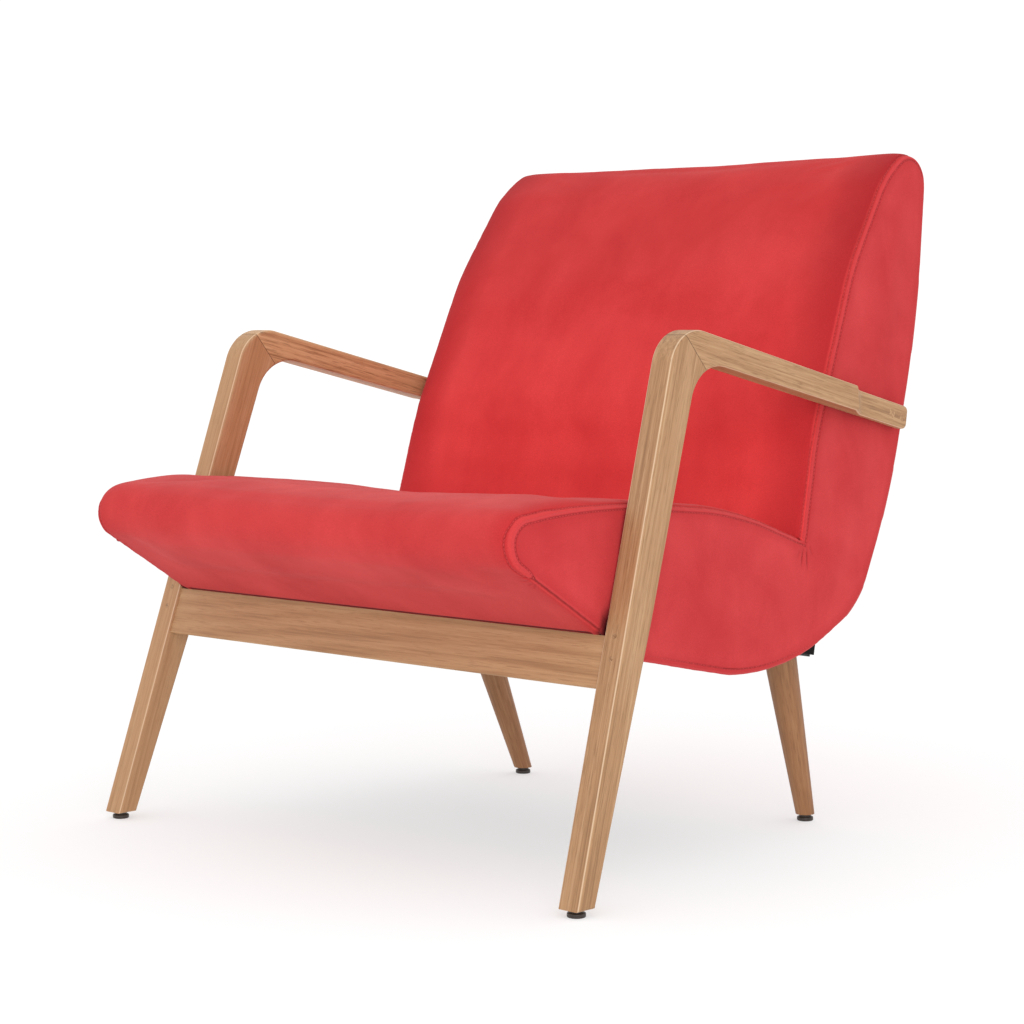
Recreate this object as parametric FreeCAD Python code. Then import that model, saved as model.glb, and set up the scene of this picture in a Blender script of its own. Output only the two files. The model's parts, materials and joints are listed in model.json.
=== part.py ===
import FreeCAD, Part
import math
import os

# A lounge chair: an upholstered seat-and-back shell held between two wooden side frames.
# Millimetres, +Z up, front towards -Y, the sitter's left at +X, the floor at Z = 0.

V = FreeCAD.Vector
os.makedirs("parts", exist_ok=True)

# Side frames: front legs and armrests
SIDE_LEAN = 0.049             # inward lean of every side for each mm of height
LEG_OUTER_X = 358.1           # outer face of a front leg, at the floor
LEG_WIDTH = 27.0
LEG_FORWARD = 336.9           # leg's front ahead of the crotch, at the rail's underside
LEG_RAKE_RATIO = 0.3145       # backward rake for each mm of height
LEG_FOOT_DEPTH = 24.0
LEG_KNEE_DEPTH = 36.5
LEG_TOP_DEPTH = 42.5
LEG_KNEE_DROP = 58.5          # start of the foot's taper, below the crotch
ARM_RISE = 225.1              # corner of the leg's front and the arm's top, above the crotch
ARM_FALL_RATIO = 0.228        # fall of the arm's top towards the rear, for each mm
ARM_FRONT_THICK = 29.2
ARM_END_THICK = 25.0
ARM_END_SETBACK = 19.4        # arm's end ahead of the shell's rear, along the arm
ARM_END_ROUND = 6.0
OUTER_CORNER_ROUND = 44.0
INNER_CORNER_ROUND = 46.0
KNEE_ROUND = 600.0
WOOD_EDGE = 3.0               # rounded edges of legs and arms
LAP_LENGTH = 115.5            # from the arm's end to where its outer face begins to step in
LAP_RUN = 28.0                # length of the step
LAP_RECESS = 15.5
LAP_STEP_ROUND = 16.0
LAP_PAD_LENGTH = 70.0         # pad on the arm's inner face that meets the shell

# Front rail
RAIL_DROP = 121.5             # underside below the crotch
RAIL_THICK = 24.0
RAIL_SETBACK = 3.2            # behind the legs' front edge
RAIL_EDGE = 2.0
RAIL_DOWEL_EDGE = 9.3         # from the rail's underside to the lower dowel
RAIL_DOWEL_TOP = 12.6         # from the upper dowel to the rail's bevelled top

# Shell outline, as corners from the crotch between seat and back: rearward, up and rounding
CROTCH_Y = 102.7
CROTCH_HEIGHT = 326.5
SHELL_GAP = 5.3               # between a front leg and the shell's side
CORNERS = {
    "crotch": (0.0, 0.0, 0.0),
    "seat_bend": (-108.2, 36.8, 430.0),
    "seat_front": (-328.0, 54.6, 680.0),
    "nose": (-491.6, 34.6, 27.0),
    "keel_front": (-270.6, -101.3, 14.0),
    "keel": (-57.4, -141.1, 226.0),
    "heel": (100.5, -66.9, 120.0),
    "spine": (196.9, 141.5, 860.0),
    "shoulder": (229.4, 303.5, 900.0),
    "crest_rear": (240.4, 419.5, 20.0),
    "crest": (157.3, 369.8, 120.0),
    "back_bend": (100.8, 285.1, 250.0),
    "lumbar": (27.0, 108.0, 300.0),
}
SIDES = ("seat", "seat", "brow", "apron", "bottom", "bottom", "rear", "rear", "rear", "top", "back", "back",
         "back")

# Upholstery layers
COVER = 2.0
SIDE_COVER = 3.0
SIDE_PADDING = 8.0
SEAT_FOAM = 43.0
BACK_FOAM = 40.0
EDGE_ROLL = 4.0               # how far the covers draw in at the side seams
ROLLED = ("seat", "brow", "back", "top")
CROWN = {"seat": 5.0, "brow": 3.0, "apron": 0.0, "bottom": 0.0, "rear": 0.0, "top": 5.0, "back": 5.0}
ROLL_WIDTH = 9.0              # width of the drawn-in strip beside a seam
SIDE_PUFF = 2.0               # how far the side panel's outer face is drawn in at its edge
CREST_WRAP = 62.0             # back cover past the top corner, down the rear
HEEL_WRAP = 50.0              # outside back past the heel, under the shell

# Inner frame
SIDE_BOARD = 18.0
BACK_PANEL = 4.0
CROSS_RAIL = 28.0
CROSS_RAIL_LEAD = 18.0        # front cross rail's front face ahead of its screws
REAR_RAIL_LENGTH = 44.0
REAR_RAIL_HEIGHT = 32.0
REAR_RAIL_SETBACK = 44.0      # ahead of the heel, clear of its rounding
BACK_RAIL_HEIGHT = 46.0
BACK_RAIL_RISE = 25.0
BACK_RAIL_THICK = 24.0
TOP_RAIL_HEIGHT = 60.0
TOP_RAIL_THICK = 22.0
TOP_RAIL_GAP = 1.6            # between the top rail and the bowed back panel
PANEL_RISE = 46.0             # back panel's foot above the heel, clear of its rounding
CORNER_BLOCK = 48.0
CORNER_BLOCK_TOE = 3.0
CORNER_BLOCK_LIFT = 14.0
CORNER_BLOCK_HEIGHT = 16.0
STRAP = 2.0
STRAP_WIDTH = 60.0
SEAT_STRAPS = 5
BACK_STRAPS = 4
STRAP_MARGIN = 28.0           # between the outer straps and the side boards

# Rear legs and their blocks
REAR_SPLAY_RATIO = 0.076      # outward for each mm of height
REAR_RAKE_RATIO = 0.358       # forward for each mm of height
REAR_FOOT_DIAMETER = 20.0
REAR_TOP_DIAMETER = 36.0
BLOCK_LENGTH = 90.0           # across the chair
BLOCK_DEPTH = 76.0
BLOCK_OUTER_EDGE = 1.0        # beyond the leg's plate, outwards
BLOCK_REAR_EDGE = 5.7         # beyond the leg's plate, to the rear
BLOCK_FALL_RATIO = 0.2        # fall of the underside towards the rear, for each mm
LEG_TOP_INSET = 66.0          # axis of a leg's top, inside the side board
LEG_TOP_BACK = 62.8           # axis of a leg's top, behind the crotch
LEG_TOP_DROP = 128.7          # leg's top, below the crotch
PLATE = 2.5
PLATE_SIDE = 48.0

# Fasteners and glides
GLIDE_DIAMETER = 18.0
GLIDE_RIM = 4.5
GLIDE_EDGE = 1.2
GLIDE_FLOOR = 2.0             # under the nail's head
GLIDE_NECK = 13.0
FOOT_HEIGHT = 7.5             # underside of the wooden legs
NAIL_DIAMETER = 3.0
NAIL_LENGTH = 20.0
DOWEL_DIAMETER = 8.0
DOWEL_IN_LEG = 16.0
DOWEL_IN_RAIL = 24.0
MITRE_DOWEL_HALF = 15.0
MITRE_DOWEL_SPACING = 15.0
PIN_DIAMETER = 5.0
PIN_DEPTH = 7.0
PIN_RISE = 50.3               # upper lock pin above the rail's underside
PIN_SPACING = 21.8
PLUG_DIAMETER = 10.0
PLUG_DEPTH = 4.0
PLUG_END_GAP = 9.5            # from the arm's end to the nearer plug
PLUG_SPACING = 19.5
SCREW_DIAMETER = 5.0
SCREW_HEAD = 9.0
SCREW_HEAD_THICK = 3.0
ARM_SCREW_BITE = 14.0         # into the side board
RAIL_SCREW_X = 130.0
RAIL_SCREW_BITE = 36.0
RAIL_SCREW_SINK = 12.0        # head above the rail's underside
BLOCK_SCREW_BITE = 22.0
BLOCK_SCREW_SINK = 14.0
BLOCK_SCREW_EDGE = 9.0        # from a block's inner end and from the leg's plate
BOLT_DIAMETER = 8.0
BOLT_IN_LEG = 34.0
BOLT_IN_BLOCK = 26.0
PLATE_SCREW_DIAMETER = 4.0
PLATE_SCREW_LENGTH = 14.0
PLATE_SCREW_EDGE = 6.0        # from a plate's edge
FIT = 0.1                     # clearance round every pin, dowel and screw
HOLE_SPARE = 0.5              # spare depth at the end of a blind hole

# Places that follow from the sizes above
ARM_CORNER_HEIGHT = CROTCH_HEIGHT + ARM_RISE
LEG_KNEE_HEIGHT = CROTCH_HEIGHT - LEG_KNEE_DROP
RAIL_BOTTOM = CROTCH_HEIGHT - RAIL_DROP
PIN_HEIGHT = RAIL_BOTTOM + PIN_RISE
LEG_TOP = CROTCH_HEIGHT - LEG_TOP_DROP
SHELL_X = LEG_OUTER_X - LEG_WIDTH - SHELL_GAP
LINING_X = SHELL_X - SIDE_COVER
BOARD_X = LINING_X - SIDE_PADDING
BAY_X = BOARD_X - SIDE_BOARD
NAMES = list(CORNERS)

# Limits for making the shapes
REACH = 1000.0                # longer than any piece, for cutting shapes
SCREW_REACH = 60.0            # from a sunk screw head out of its piece
LEAST_ROUND = 1.0             # smallest rounding of an outline that has moved inwards
CROSSWAYS_RATIO = 0.5         # an edge whose direction has more of X than this runs across its member
CLEAR_ANGLE_RATIO = 0.5       # two faces whose normals have a smaller product meet at a clear angle


# Plane geometry in the side view, where a point is (y, z)

def unit(vector):
    length = math.hypot(*vector)
    return (vector[0] / length, vector[1] / length)


def along(point, direction, distance):
    return (point[0] + direction[0] * distance, point[1] + direction[1] * distance)


def heading(start, end):
    return unit((end[0] - start[0], end[1] - start[1]))


def meet(point, direction, other, other_direction):
    """Where two lines cross, each given by a point and a direction."""
    cross = direction[0] * other_direction[1] - direction[1] * other_direction[0]
    gap = (other[0] - point[0], other[1] - point[1])
    return along(point, direction, (gap[0] * other_direction[1] - gap[1] * other_direction[0]) / cross)


def outward(direction):
    return (direction[1], -direction[0])


def inward(direction):
    return (-direction[1], direction[0])


def shell_corner(name):
    rearward, up = CORNERS[name][:2]
    return (CROTCH_Y + rearward, CROTCH_HEIGHT + up)


def shell_side(name):
    """The side of the shell outline that begins at a corner: that corner and the side's direction."""
    start = shell_corner(name)
    end = shell_corner(NAMES[(NAMES.index(name) + 1) % len(NAMES)])
    return start, heading(start, end)


def shell_outline(offsets):
    """Corners of the shell outline, with each kind of side moved outwards by its own offset."""
    moved = []
    for name, kind in zip(NAMES, SIDES):
        start, direction = shell_side(name)
        moved.append((along(start, outward(direction), offsets[kind]), direction))
    outline = {}
    for index, name in enumerate(NAMES):
        before = moved[index - 1]
        after = moved[index]
        outline[name] = meet(before[0], before[1], after[0], after[1])
    return outline


def rounding(name, offset):
    """Rounding of an outline corner once the outline has moved outwards by the offset."""
    radius = CORNERS[name][2]
    return max(radius + offset, LEAST_ROUND) if radius else 0.0


def offsets_of(default, **changes):
    offsets = {kind: default for kind in CROWN}
    offsets.update(changes)
    return offsets


# Wires and solids

def leaning(reach, share=1.0):
    """Places side-view points on a plane that leans with the chair's side."""
    return lambda point: V(share * (reach - SIDE_LEAN * point[1]), point[0], point[1])


def upright(x):
    return lambda point: V(x, point[0], point[1])


def rounded_wire(corners, place):
    """Closed wire through (point, rounding) corners: straight runs joined by tangent arcs."""
    points = [corner[0] for corner in corners]
    stretches = []
    for index, (point, radius) in enumerate(corners):
        if not radius:
            stretches.append((point,))
            continue
        back = heading(point, points[index - 1])
        ahead = heading(point, points[(index + 1) % len(points)])
        half = math.acos(max(-1.0, min(1.0, back[0] * ahead[0] + back[1] * ahead[1]))) / 2
        reach = radius / math.tan(half)
        middle = unit((back[0] + ahead[0], back[1] + ahead[1]))
        top = along(point, middle, radius / math.sin(half) - radius)
        stretches.append((along(point, back, reach), top, along(point, ahead, reach)))
    edges = []
    for index, stretch in enumerate(stretches):
        if len(stretch) == 3:
            edges.append(Part.Arc(*[place(point) for point in stretch]).toShape())
        follower = stretches[(index + 1) % len(stretches)]
        edges.append(Part.LineSegment(place(stretch[-1]), place(follower[0])).toShape())
    return Part.Wire(edges)


def sharp(points):
    return [(point, 0.0) for point in points]


def slab(corners, reach, thick):
    """Plate on the left side: a side-view shape from a leaning plane inwards."""
    face = Part.Face(rounded_wire(corners, leaning(reach)))
    return face.extrude(V(-thick, 0, 0))


def strip(corners, x, width):
    """Plate between two upright planes."""
    face = Part.Face(rounded_wire(corners, upright(x)))
    return face.extrude(V(width, 0, 0))


def between_sides(reach):
    """All the room between the two leaning planes."""
    low, high = [leaning(reach)((-REACH, height)) for height in (0.0, REACH)]
    wire = Part.makePolygon([low, high, V(-high.x, high.y, high.z), V(-low.x, low.y, low.z), low])
    return Part.Face(wire).extrude(V(0, 2 * REACH, 0))


def span(corners, reach):
    """Straight piece across the chair between the two leaning planes."""
    return strip(corners, -REACH, 2 * REACH).common(between_sides(reach))


def rod(start, end, diameter):
    axis = end - start
    return Part.makeCylinder(diameter / 2, axis.Length, start, axis)


def mirrored(shape):
    return shape.mirror(V(0, 0, 0), V(1, 0, 0))


def both(shapes):
    return Part.makeCompound(shapes + [mirrored(shape) for shape in shapes])


def drilled(shape, tools):
    """A shape with each hole cut in turn."""
    for tool in tools:
        shape = shape.cut(tool)
    return shape


def save(name, shape):
    shape.exportStep("parts/" + name + ".step")


def save_pair(name, shape):
    save(name + "_left", shape)
    save(name + "_right", mirrored(shape))


# Side-view lines of the wooden frame

def leg_front(height):
    return (CROTCH_Y - LEG_FORWARD + LEG_RAKE_RATIO * (height - RAIL_BOTTOM), height)


RAKE = unit((LEG_RAKE_RATIO, 1.0))
FACE_IN = unit((1.0, -LEG_RAKE_RATIO))
arm_corner = leg_front(ARM_CORNER_HEIGHT)
ARM_RUN = unit((1.0, -ARM_FALL_RATIO))
ARM_UP = (-ARM_RUN[1], ARM_RUN[0])
shell_rear = min(meet(arm_corner, ARM_RUN, *shell_side(name)) for name in ("heel", "spine", "shoulder"))
arm_end_top = along(shell_rear, ARM_RUN, -ARM_END_SETBACK)
ARM_END_Y = arm_end_top[0]
arm_end_bottom = along(arm_end_top, ARM_UP, -ARM_END_THICK)
arm_front_bottom = along(arm_corner, (0.0, -1.0), ARM_FRONT_THICK)
UNDER_RUN = heading(arm_front_bottom, arm_end_bottom)
knee = along(leg_front(LEG_KNEE_HEIGHT), (1.0, 0.0), LEG_KNEE_DEPTH)
leg_top_rear = along(arm_corner, (1.0, 0.0), LEG_TOP_DEPTH)
inner_corner = meet(knee, heading(knee, leg_top_rear), arm_front_bottom, UNDER_RUN)
foot_front = leg_front(FOOT_HEIGHT)
foot_rear = along(foot_front, (1.0, 0.0), LEG_FOOT_DEPTH)
MITRE = heading(inner_corner, arm_corner)


# Soft sections of the shell

def soft_offsets(roll, crown, depth):
    """Offsets of a soft surface that lies depth under the cover's outside."""
    offsets = {kind: CROWN[kind] * crown - depth for kind in CROWN}
    for kind in ROLLED:
        offsets[kind] -= EDGE_ROLL * roll
    return offsets


def soft_loft(section):
    """Crowned loft across the chair with a drawn-in strip at each side seam."""
    seam = 1.0 - ROLL_WIDTH / LINING_X
    flat = {share: rounded_wire(section(0.0, 0.0), leaning(LINING_X, share)) for share in (-seam, seam)}
    crowned = rounded_wire(section(0.0, 1.0), leaning(LINING_X, 0.0))
    middle = Part.makeLoft([flat[-seam], crowned, flat[seam]], True, False)
    edges = []
    for share in (-seam, seam):
        drawn = rounded_wire(section(1.0, 0.0), leaning(LINING_X, math.copysign(1.0, share)))
        edges.append(Part.makeLoft([flat[share], drawn], True, True))
    return middle.fuse(edges)


def rounded(names, outline, depth):
    """Outline corners, each with the rounding that it has at that depth."""
    return [(outline[name], rounding(name, -depth)) for name in names]


FOAM_UNDER = COVER + SEAT_FOAM
FOAM_BEHIND = COVER + BACK_FOAM
PANEL_INSIDE = COVER + BACK_PANEL
skin_outline = shell_outline(offsets_of(0.0))
lining_outline = shell_outline(offsets_of(-COVER))
frame_outline = shell_outline(
    offsets_of(-COVER, seat=-FOAM_UNDER, back=-FOAM_BEHIND, top=-FOAM_BEHIND, rear=-PANEL_INSIDE))
strap_outline = shell_outline(
    offsets_of(-COVER, seat=-FOAM_UNDER - STRAP, back=-FOAM_BEHIND - STRAP, top=-FOAM_BEHIND - STRAP,
               rear=-PANEL_INSIDE))
panel_top = shell_outline(offsets_of(-COVER, top=-FOAM_BEHIND))["crest_rear"]

# Lines of the seat's nose and underside
SEAT_RUN = shell_side("seat_bend")[1]
APRON_RUN = shell_side("nose")[1]
APRON_UP = inward(APRON_RUN)
KEEL_RUN = shell_side("keel")[1]
KEEL_UP = inward(KEEL_RUN)


def rail_middle(height):
    return along(leg_front(height), (1.0, 0.0), RAIL_SETBACK + RAIL_THICK / RAKE[1] / 2)


rail_base = rail_middle(RAIL_BOTTOM)
rail_bevel = meet(rail_base, RAKE, skin_outline["nose"], APRON_RUN)
lip = along(meet(rail_base, RAKE, lining_outline["nose"], APRON_RUN), APRON_RUN, -CROSS_RAIL_LEAD)
lip_top = meet(lip, APRON_UP, frame_outline["seat_bend"], SEAT_RUN)
lip_strap = meet(lip, APRON_UP, strap_outline["seat_bend"], SEAT_RUN)


def hem(start, end, depth, distance):
    """Point on one straight side of the shell, at a distance from one of its corners."""
    outline = shell_outline(offsets_of(-depth))
    return along(outline[start], heading(outline[start], outline[end]), distance)


def crest_hem(depth):
    return hem("crest_rear", "shoulder", depth, CREST_WRAP)


def heel_hem(depth):
    return hem("heel", "keel", depth, HEEL_WRAP)


def front_hem(depth):
    return shell_outline(offsets_of(-depth))["keel_front"]


def panel_foot(depth):
    return hem("heel", "spine", depth, PANEL_RISE)


def seat_cover_section(roll, crown):
    outer = shell_outline(soft_offsets(roll, crown, 0.0))
    inner = shell_outline(soft_offsets(roll, crown, COVER))
    names = ["seat_bend", "seat_front", "nose"]
    return (sharp([outer["crotch"]]) + rounded(names, outer, 0.0)
            + sharp([outer["keel_front"], inner["keel_front"]])
            + rounded(names, inner, COVER)[::-1] + sharp([inner["crotch"]]))


def back_cover_section(roll, crown):
    outer = shell_outline(soft_offsets(roll, crown, 0.0))
    inner = shell_outline(soft_offsets(roll, crown, COVER))
    names = ["crest_rear", "crest", "back_bend", "lumbar"]
    return (sharp([crest_hem(0.0)]) + rounded(names, outer, 0.0) + sharp([outer["crotch"], inner["crotch"]])
            + rounded(names, inner, COVER)[::-1] + sharp([crest_hem(COVER)]))


def seat_foam_section(roll, crown):
    outer = shell_outline(soft_offsets(roll, crown, COVER))
    return (sharp([outer["crotch"]]) + rounded(["seat_bend", "seat_front", "nose"], outer, COVER)
            + sharp([lip, lip_top, frame_outline["seat_bend"], frame_outline["crotch"]]))


def back_foam_section(roll, crown):
    outer = shell_outline(soft_offsets(roll, crown, COVER))
    inside = [frame_outline[name] for name in ("crotch", "lumbar", "back_bend", "crest", "crest_rear")]
    return (rounded(["crest_rear", "crest", "back_bend", "lumbar"], outer, COVER) + sharp([outer["crotch"]])
            + sharp(inside + [panel_top]))


# Straight pieces of the shell

def lower_skin(first, names, last):
    """Cover on the rear or the underside, from one hem to another."""
    outer = [(first(0.0), 0.0)] + rounded(names, skin_outline, 0.0) + [(last(0.0), 0.0)]
    inner = [(first(COVER), 0.0)] + rounded(names, lining_outline, COVER) + [(last(COVER), 0.0)]
    return span(outer + inner[::-1], LINING_X)


def side_panel():
    """Side cover, drawn in a little at its edge."""
    wires = []
    for reach, inset in ((LINING_X, 0.0), (SHELL_X, SIDE_PUFF)):
        rolled = {kind: -EDGE_ROLL - inset for kind in ROLLED}
        outline = shell_outline(offsets_of(-inset, **rolled))
        wires.append(rounded_wire(rounded(CORNERS, outline, inset), leaning(reach)))
    return Part.makeLoft(wires, True, True)


def frame_section():
    """Side board outline: under the foam, inside the rear panel and the dust cover."""
    return (sharp([frame_outline["crotch"], frame_outline["seat_bend"], lip_top, lip])
            + rounded(["keel_front", "keel", "heel", "spine", "shoulder"], frame_outline, COVER)
            + sharp([frame_outline[name] for name in ("crest_rear", "crest", "back_bend", "lumbar")]))


def back_panel_section():
    names = ["spine", "shoulder"]
    return (sharp([panel_foot(COVER)]) + rounded(names, lining_outline, COVER)
            + sharp([panel_top, frame_outline["crest_rear"]])
            + rounded(names, frame_outline, PANEL_INSIDE)[::-1] + sharp([panel_foot(PANEL_INSIDE)]))


def seat_front_rail_section():
    rear = along(lip, APRON_RUN, CROSS_RAIL)
    return [lip, lip_strap, meet(rear, APRON_UP, strap_outline["seat_bend"], SEAT_RUN), rear]


def seat_rear_rail_section():
    rear = along(lining_outline["heel"], KEEL_RUN, -REAR_RAIL_SETBACK)
    front = along(rear, KEEL_RUN, -REAR_RAIL_LENGTH)
    return [front, rear, along(rear, KEEL_UP, REAR_RAIL_HEIGHT), along(front, KEEL_UP, REAR_RAIL_HEIGHT)]


def back_lower_rail_section():
    run = heading(strap_outline["crotch"], strap_outline["lumbar"])
    low = along(strap_outline["crotch"], run, BACK_RAIL_RISE)
    high = along(low, run, BACK_RAIL_HEIGHT)
    behind = outward(run)
    return [low, along(low, behind, BACK_RAIL_THICK), along(high, behind, BACK_RAIL_THICK), high]


def back_top_rail_section():
    panel = strap_outline["crest_rear"]
    slope = heading(panel, strap_outline["crest"])
    down = heading(frame_outline["crest_rear"], frame_outline["shoulder"])
    rear = along(panel, outward(down), TOP_RAIL_GAP)
    front = along(rear, outward(down), TOP_RAIL_THICK)
    tops = [meet(point, down, panel, slope) for point in (rear, front)]
    return [tops[0], tops[1], along(front, down, TOP_RAIL_HEIGHT), along(rear, down, TOP_RAIL_HEIGHT)]


def corner_block(base, up, away):
    """Triangular block in the corner between a cross rail and a side board."""
    low = along(base, up, CORNER_BLOCK_LIFT)
    high = along(low, up, CORNER_BLOCK_HEIGHT)
    wires = []
    for reach, length in ((BAY_X, CORNER_BLOCK), (BAY_X - CORNER_BLOCK, CORNER_BLOCK_TOE)):
        points = [low, high, along(high, away, length), along(low, away, length)]
        wires.append(rounded_wire(sharp(points), leaning(reach)))
    return Part.makeLoft(wires, True, True)


def straps(points, count):
    """Equal straps side by side, the outer ones a margin clear of the side boards."""
    half = BAY_X - SIDE_LEAN * max(height for y, height in points) - STRAP_MARGIN
    pitch = (2 * half - STRAP_WIDTH) / (count - 1)
    return [strip(sharp(points), pitch * index - half, STRAP_WIDTH) for index in range(count)]


# Fasteners, each with the hole that it needs

def pin_and_hole(start, end, diameter, spare_start=0.0):
    """Round pin between two points, and a hole round it with spare depth at its end."""
    way = (end - start).normalize()
    hole = rod(start - way * spare_start, end + way * HOLE_SPARE, diameter + 2 * FIT)
    return rod(start, end, diameter), hole


def at_leg_middle(point):
    return leaning(LEG_OUTER_X - LEG_WIDTH / 2)(point)


def rail_dowels():
    pairs = []
    for centre in (along(rail_base, RAKE, RAIL_DOWEL_EDGE), along(rail_bevel, RAKE, -RAIL_DOWEL_TOP)):
        seat = leaning(LEG_OUTER_X - LEG_WIDTH)(centre)
        start = seat - V(DOWEL_IN_RAIL, 0, 0)
        pairs.append(pin_and_hole(start, seat + V(DOWEL_IN_LEG, 0, 0), DOWEL_DIAMETER, HOLE_SPARE))
    return pairs


def mitre_dowels():
    half = math.acos(ARM_RUN[0] * -RAKE[0] + ARM_RUN[1] * -RAKE[1]) / 2
    cut = 1.0 / math.sin(half) - 1.0
    outer = along(arm_corner, MITRE, -OUTER_CORNER_ROUND * cut)
    inner = along(inner_corner, MITRE, -INNER_CORNER_ROUND * cut)
    middle = ((outer[0] + inner[0]) / 2, (outer[1] + inner[1]) / 2)
    across = outward(MITRE)
    pairs = []
    for shift in (-MITRE_DOWEL_SPACING / 2, MITRE_DOWEL_SPACING / 2):
        centre = along(middle, MITRE, shift)
        ends = [at_leg_middle(along(centre, across, way)) for way in (-MITRE_DOWEL_HALF, MITRE_DOWEL_HALF)]
        pairs.append(pin_and_hole(ends[0], ends[1], DOWEL_DIAMETER, HOLE_SPARE))
    return pairs


def lock_pins():
    pairs = []
    for drop in (0.0, PIN_SPACING):
        face = along(leg_front(PIN_HEIGHT), RAKE, -drop)
        ends = [at_leg_middle(face), at_leg_middle(along(face, FACE_IN, PIN_DEPTH))]
        pairs.append(pin_and_hole(ends[0], ends[1], PIN_DIAMETER, PIN_DEPTH))
    return pairs


def plug_centres():
    end_middle = along(arm_end_top, ARM_UP, -ARM_END_THICK / 2)
    return [along(end_middle, ARM_RUN, -PLUG_END_GAP - shift) for shift in (0.0, PLUG_SPACING)]


CORNER_WAYS = [(way * PLUG_DIAMETER, up * PLUG_DIAMETER) for way, up in ((-1, -1), (1, -1), (1, 1), (-1, 1))]


def arm_fixing(centre):
    """Plug, screw, counterbore and clearance hole at one fixing point of an armrest."""
    face = leaning(LEG_OUTER_X - LAP_RECESS)(centre)
    inwards = V(-1, 0, 0)
    seat = face + inwards * (PLUG_DEPTH + HOLE_SPARE + SCREW_HEAD_THICK)
    tip = leaning(BOARD_X)(centre) + inwards * ARM_SCREW_BITE
    outside = face - inwards * PLUG_DIAMETER
    around = [along(along(centre, ARM_RUN, run), ARM_UP, up) for run, up in CORNER_WAYS]
    bore = rod(outside, seat, PLUG_DIAMETER)
    plug = bore.common(slab(sharp(around), LEG_OUTER_X - LAP_RECESS, PLUG_DEPTH))
    shank, hole = pin_and_hole(seat, tip, SCREW_DIAMETER, PLUG_DEPTH)
    screw = shank.fuse(rod(seat - inwards * SCREW_HEAD_THICK, seat, SCREW_HEAD)).removeSplitter()
    return plug, screw, bore, hole


def headed_screw(start, end):
    """Screw from its head's face to its tip, and the stepped hole from its head outwards."""
    way = (end - start).normalize()
    under_head = start + way * SCREW_HEAD_THICK
    shank, hole = pin_and_hole(under_head, end, SCREW_DIAMETER)
    screw = shank.fuse(rod(start, under_head, SCREW_HEAD)).removeSplitter()
    return screw, hole.fuse(rod(start - way * SCREW_REACH, under_head, SCREW_HEAD + 2 * FIT))


def rail_screw():
    place = upright(RAIL_SCREW_X)
    return headed_screw(place(along(rail_base, RAKE, RAIL_SCREW_SINK)),
                        place(along(rail_bevel, RAKE, COVER + RAIL_SCREW_BITE)))


# Side frame

def hard_edges(shape):
    """Edges that run round the sides of a member, where two faces meet at a clear angle."""
    found = []
    for edge in shape.Edges:
        middle = edge.valueAt((edge.FirstParameter + edge.LastParameter) / 2)
        normals = []
        for face in shape.ancestorsOfType(edge, Part.Face):
            normals.append(face.normalAt(*face.Surface.parameter(middle)))
        tangent = edge.tangentAt((edge.FirstParameter + edge.LastParameter) / 2)
        if len(normals) == 2 and abs(tangent.x) < CROSSWAYS_RATIO:
            if abs(normals[0].dot(normals[1])) < CLEAR_ANGLE_RATIO:
                found.append(edge)
    return found


def lap_cutter():
    """What is cut from the arm's outer face to make the rear lap, with a rounded step."""
    low = arm_end_bottom[1] - ARM_FRONT_THICK
    high = ARM_CORNER_HEIGHT
    outer_x = LEG_OUTER_X - SIDE_LEAN * low
    lap_start = ARM_END_Y - LAP_LENGTH
    lap_end = lap_start + LAP_RUN
    beyond = ARM_END_Y + LAP_RUN
    corners = [((LAP_RECESS + outer_x, lap_start), 0.0), ((outer_x, lap_start), LAP_STEP_ROUND),
               ((outer_x - LAP_RECESS, lap_end), LAP_STEP_ROUND), ((outer_x - LAP_RECESS, beyond), 0.0),
               ((LAP_RECESS + outer_x, beyond), 0.0)]
    wire = rounded_wire(corners, lambda point: V(point[0], point[1], low))
    return Part.Face(wire).extrude(V(-SIDE_LEAN * (high - low), 0, high - low))


def lap_pad():
    """Pad inside the rear lap that bears on the shell's side."""
    rear = along(arm_end_top, ARM_RUN, -WOOD_EDGE)
    front = along(rear, ARM_RUN, -LAP_PAD_LENGTH)
    drop = ARM_END_THICK - WOOD_EDGE
    points = [along(rear, ARM_UP, -WOOD_EDGE), along(front, ARM_UP, -WOOD_EDGE), along(front, ARM_UP, -drop),
              along(rear, ARM_UP, -drop)]
    return slab(sharp(points), LEG_OUTER_X - LEG_WIDTH + WOOD_EDGE, SHELL_GAP + WOOD_EDGE)


def side_frame():
    """Leg and armrest of the left side, parted at their mitre."""
    corners = sharp([foot_front, foot_rear])
    corners += [(knee, KNEE_ROUND), (inner_corner, INNER_CORNER_ROUND), (arm_end_bottom, ARM_END_ROUND)]
    corners += [(arm_end_top, ARM_END_ROUND), (arm_corner, OUTER_CORNER_ROUND)]
    frame = slab(corners, LEG_OUTER_X, LEG_WIDTH).cut(lap_cutter())
    frame = frame.makeFillet(WOOD_EDGE, hard_edges(frame))
    ends = [along(arm_corner, MITRE, REACH), along(inner_corner, MITRE, -REACH)]
    leg_way = (-MITRE[1], MITRE[0])
    far = [along(point, leg_way, REACH) for point in reversed(ends)]
    below = strip(sharp(ends + far), 0.0, REACH)
    return frame.common(below), frame.cut(below).fuse(lap_pad()).removeSplitter()


# Rear legs

def rear_axis(height):
    below = LEG_TOP - height
    x = BAY_X - LEG_TOP_INSET - REAR_SPLAY_RATIO * below
    return V(x, CROTCH_Y + LEG_TOP_BACK + REAR_RAKE_RATIO * below, height)


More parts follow.
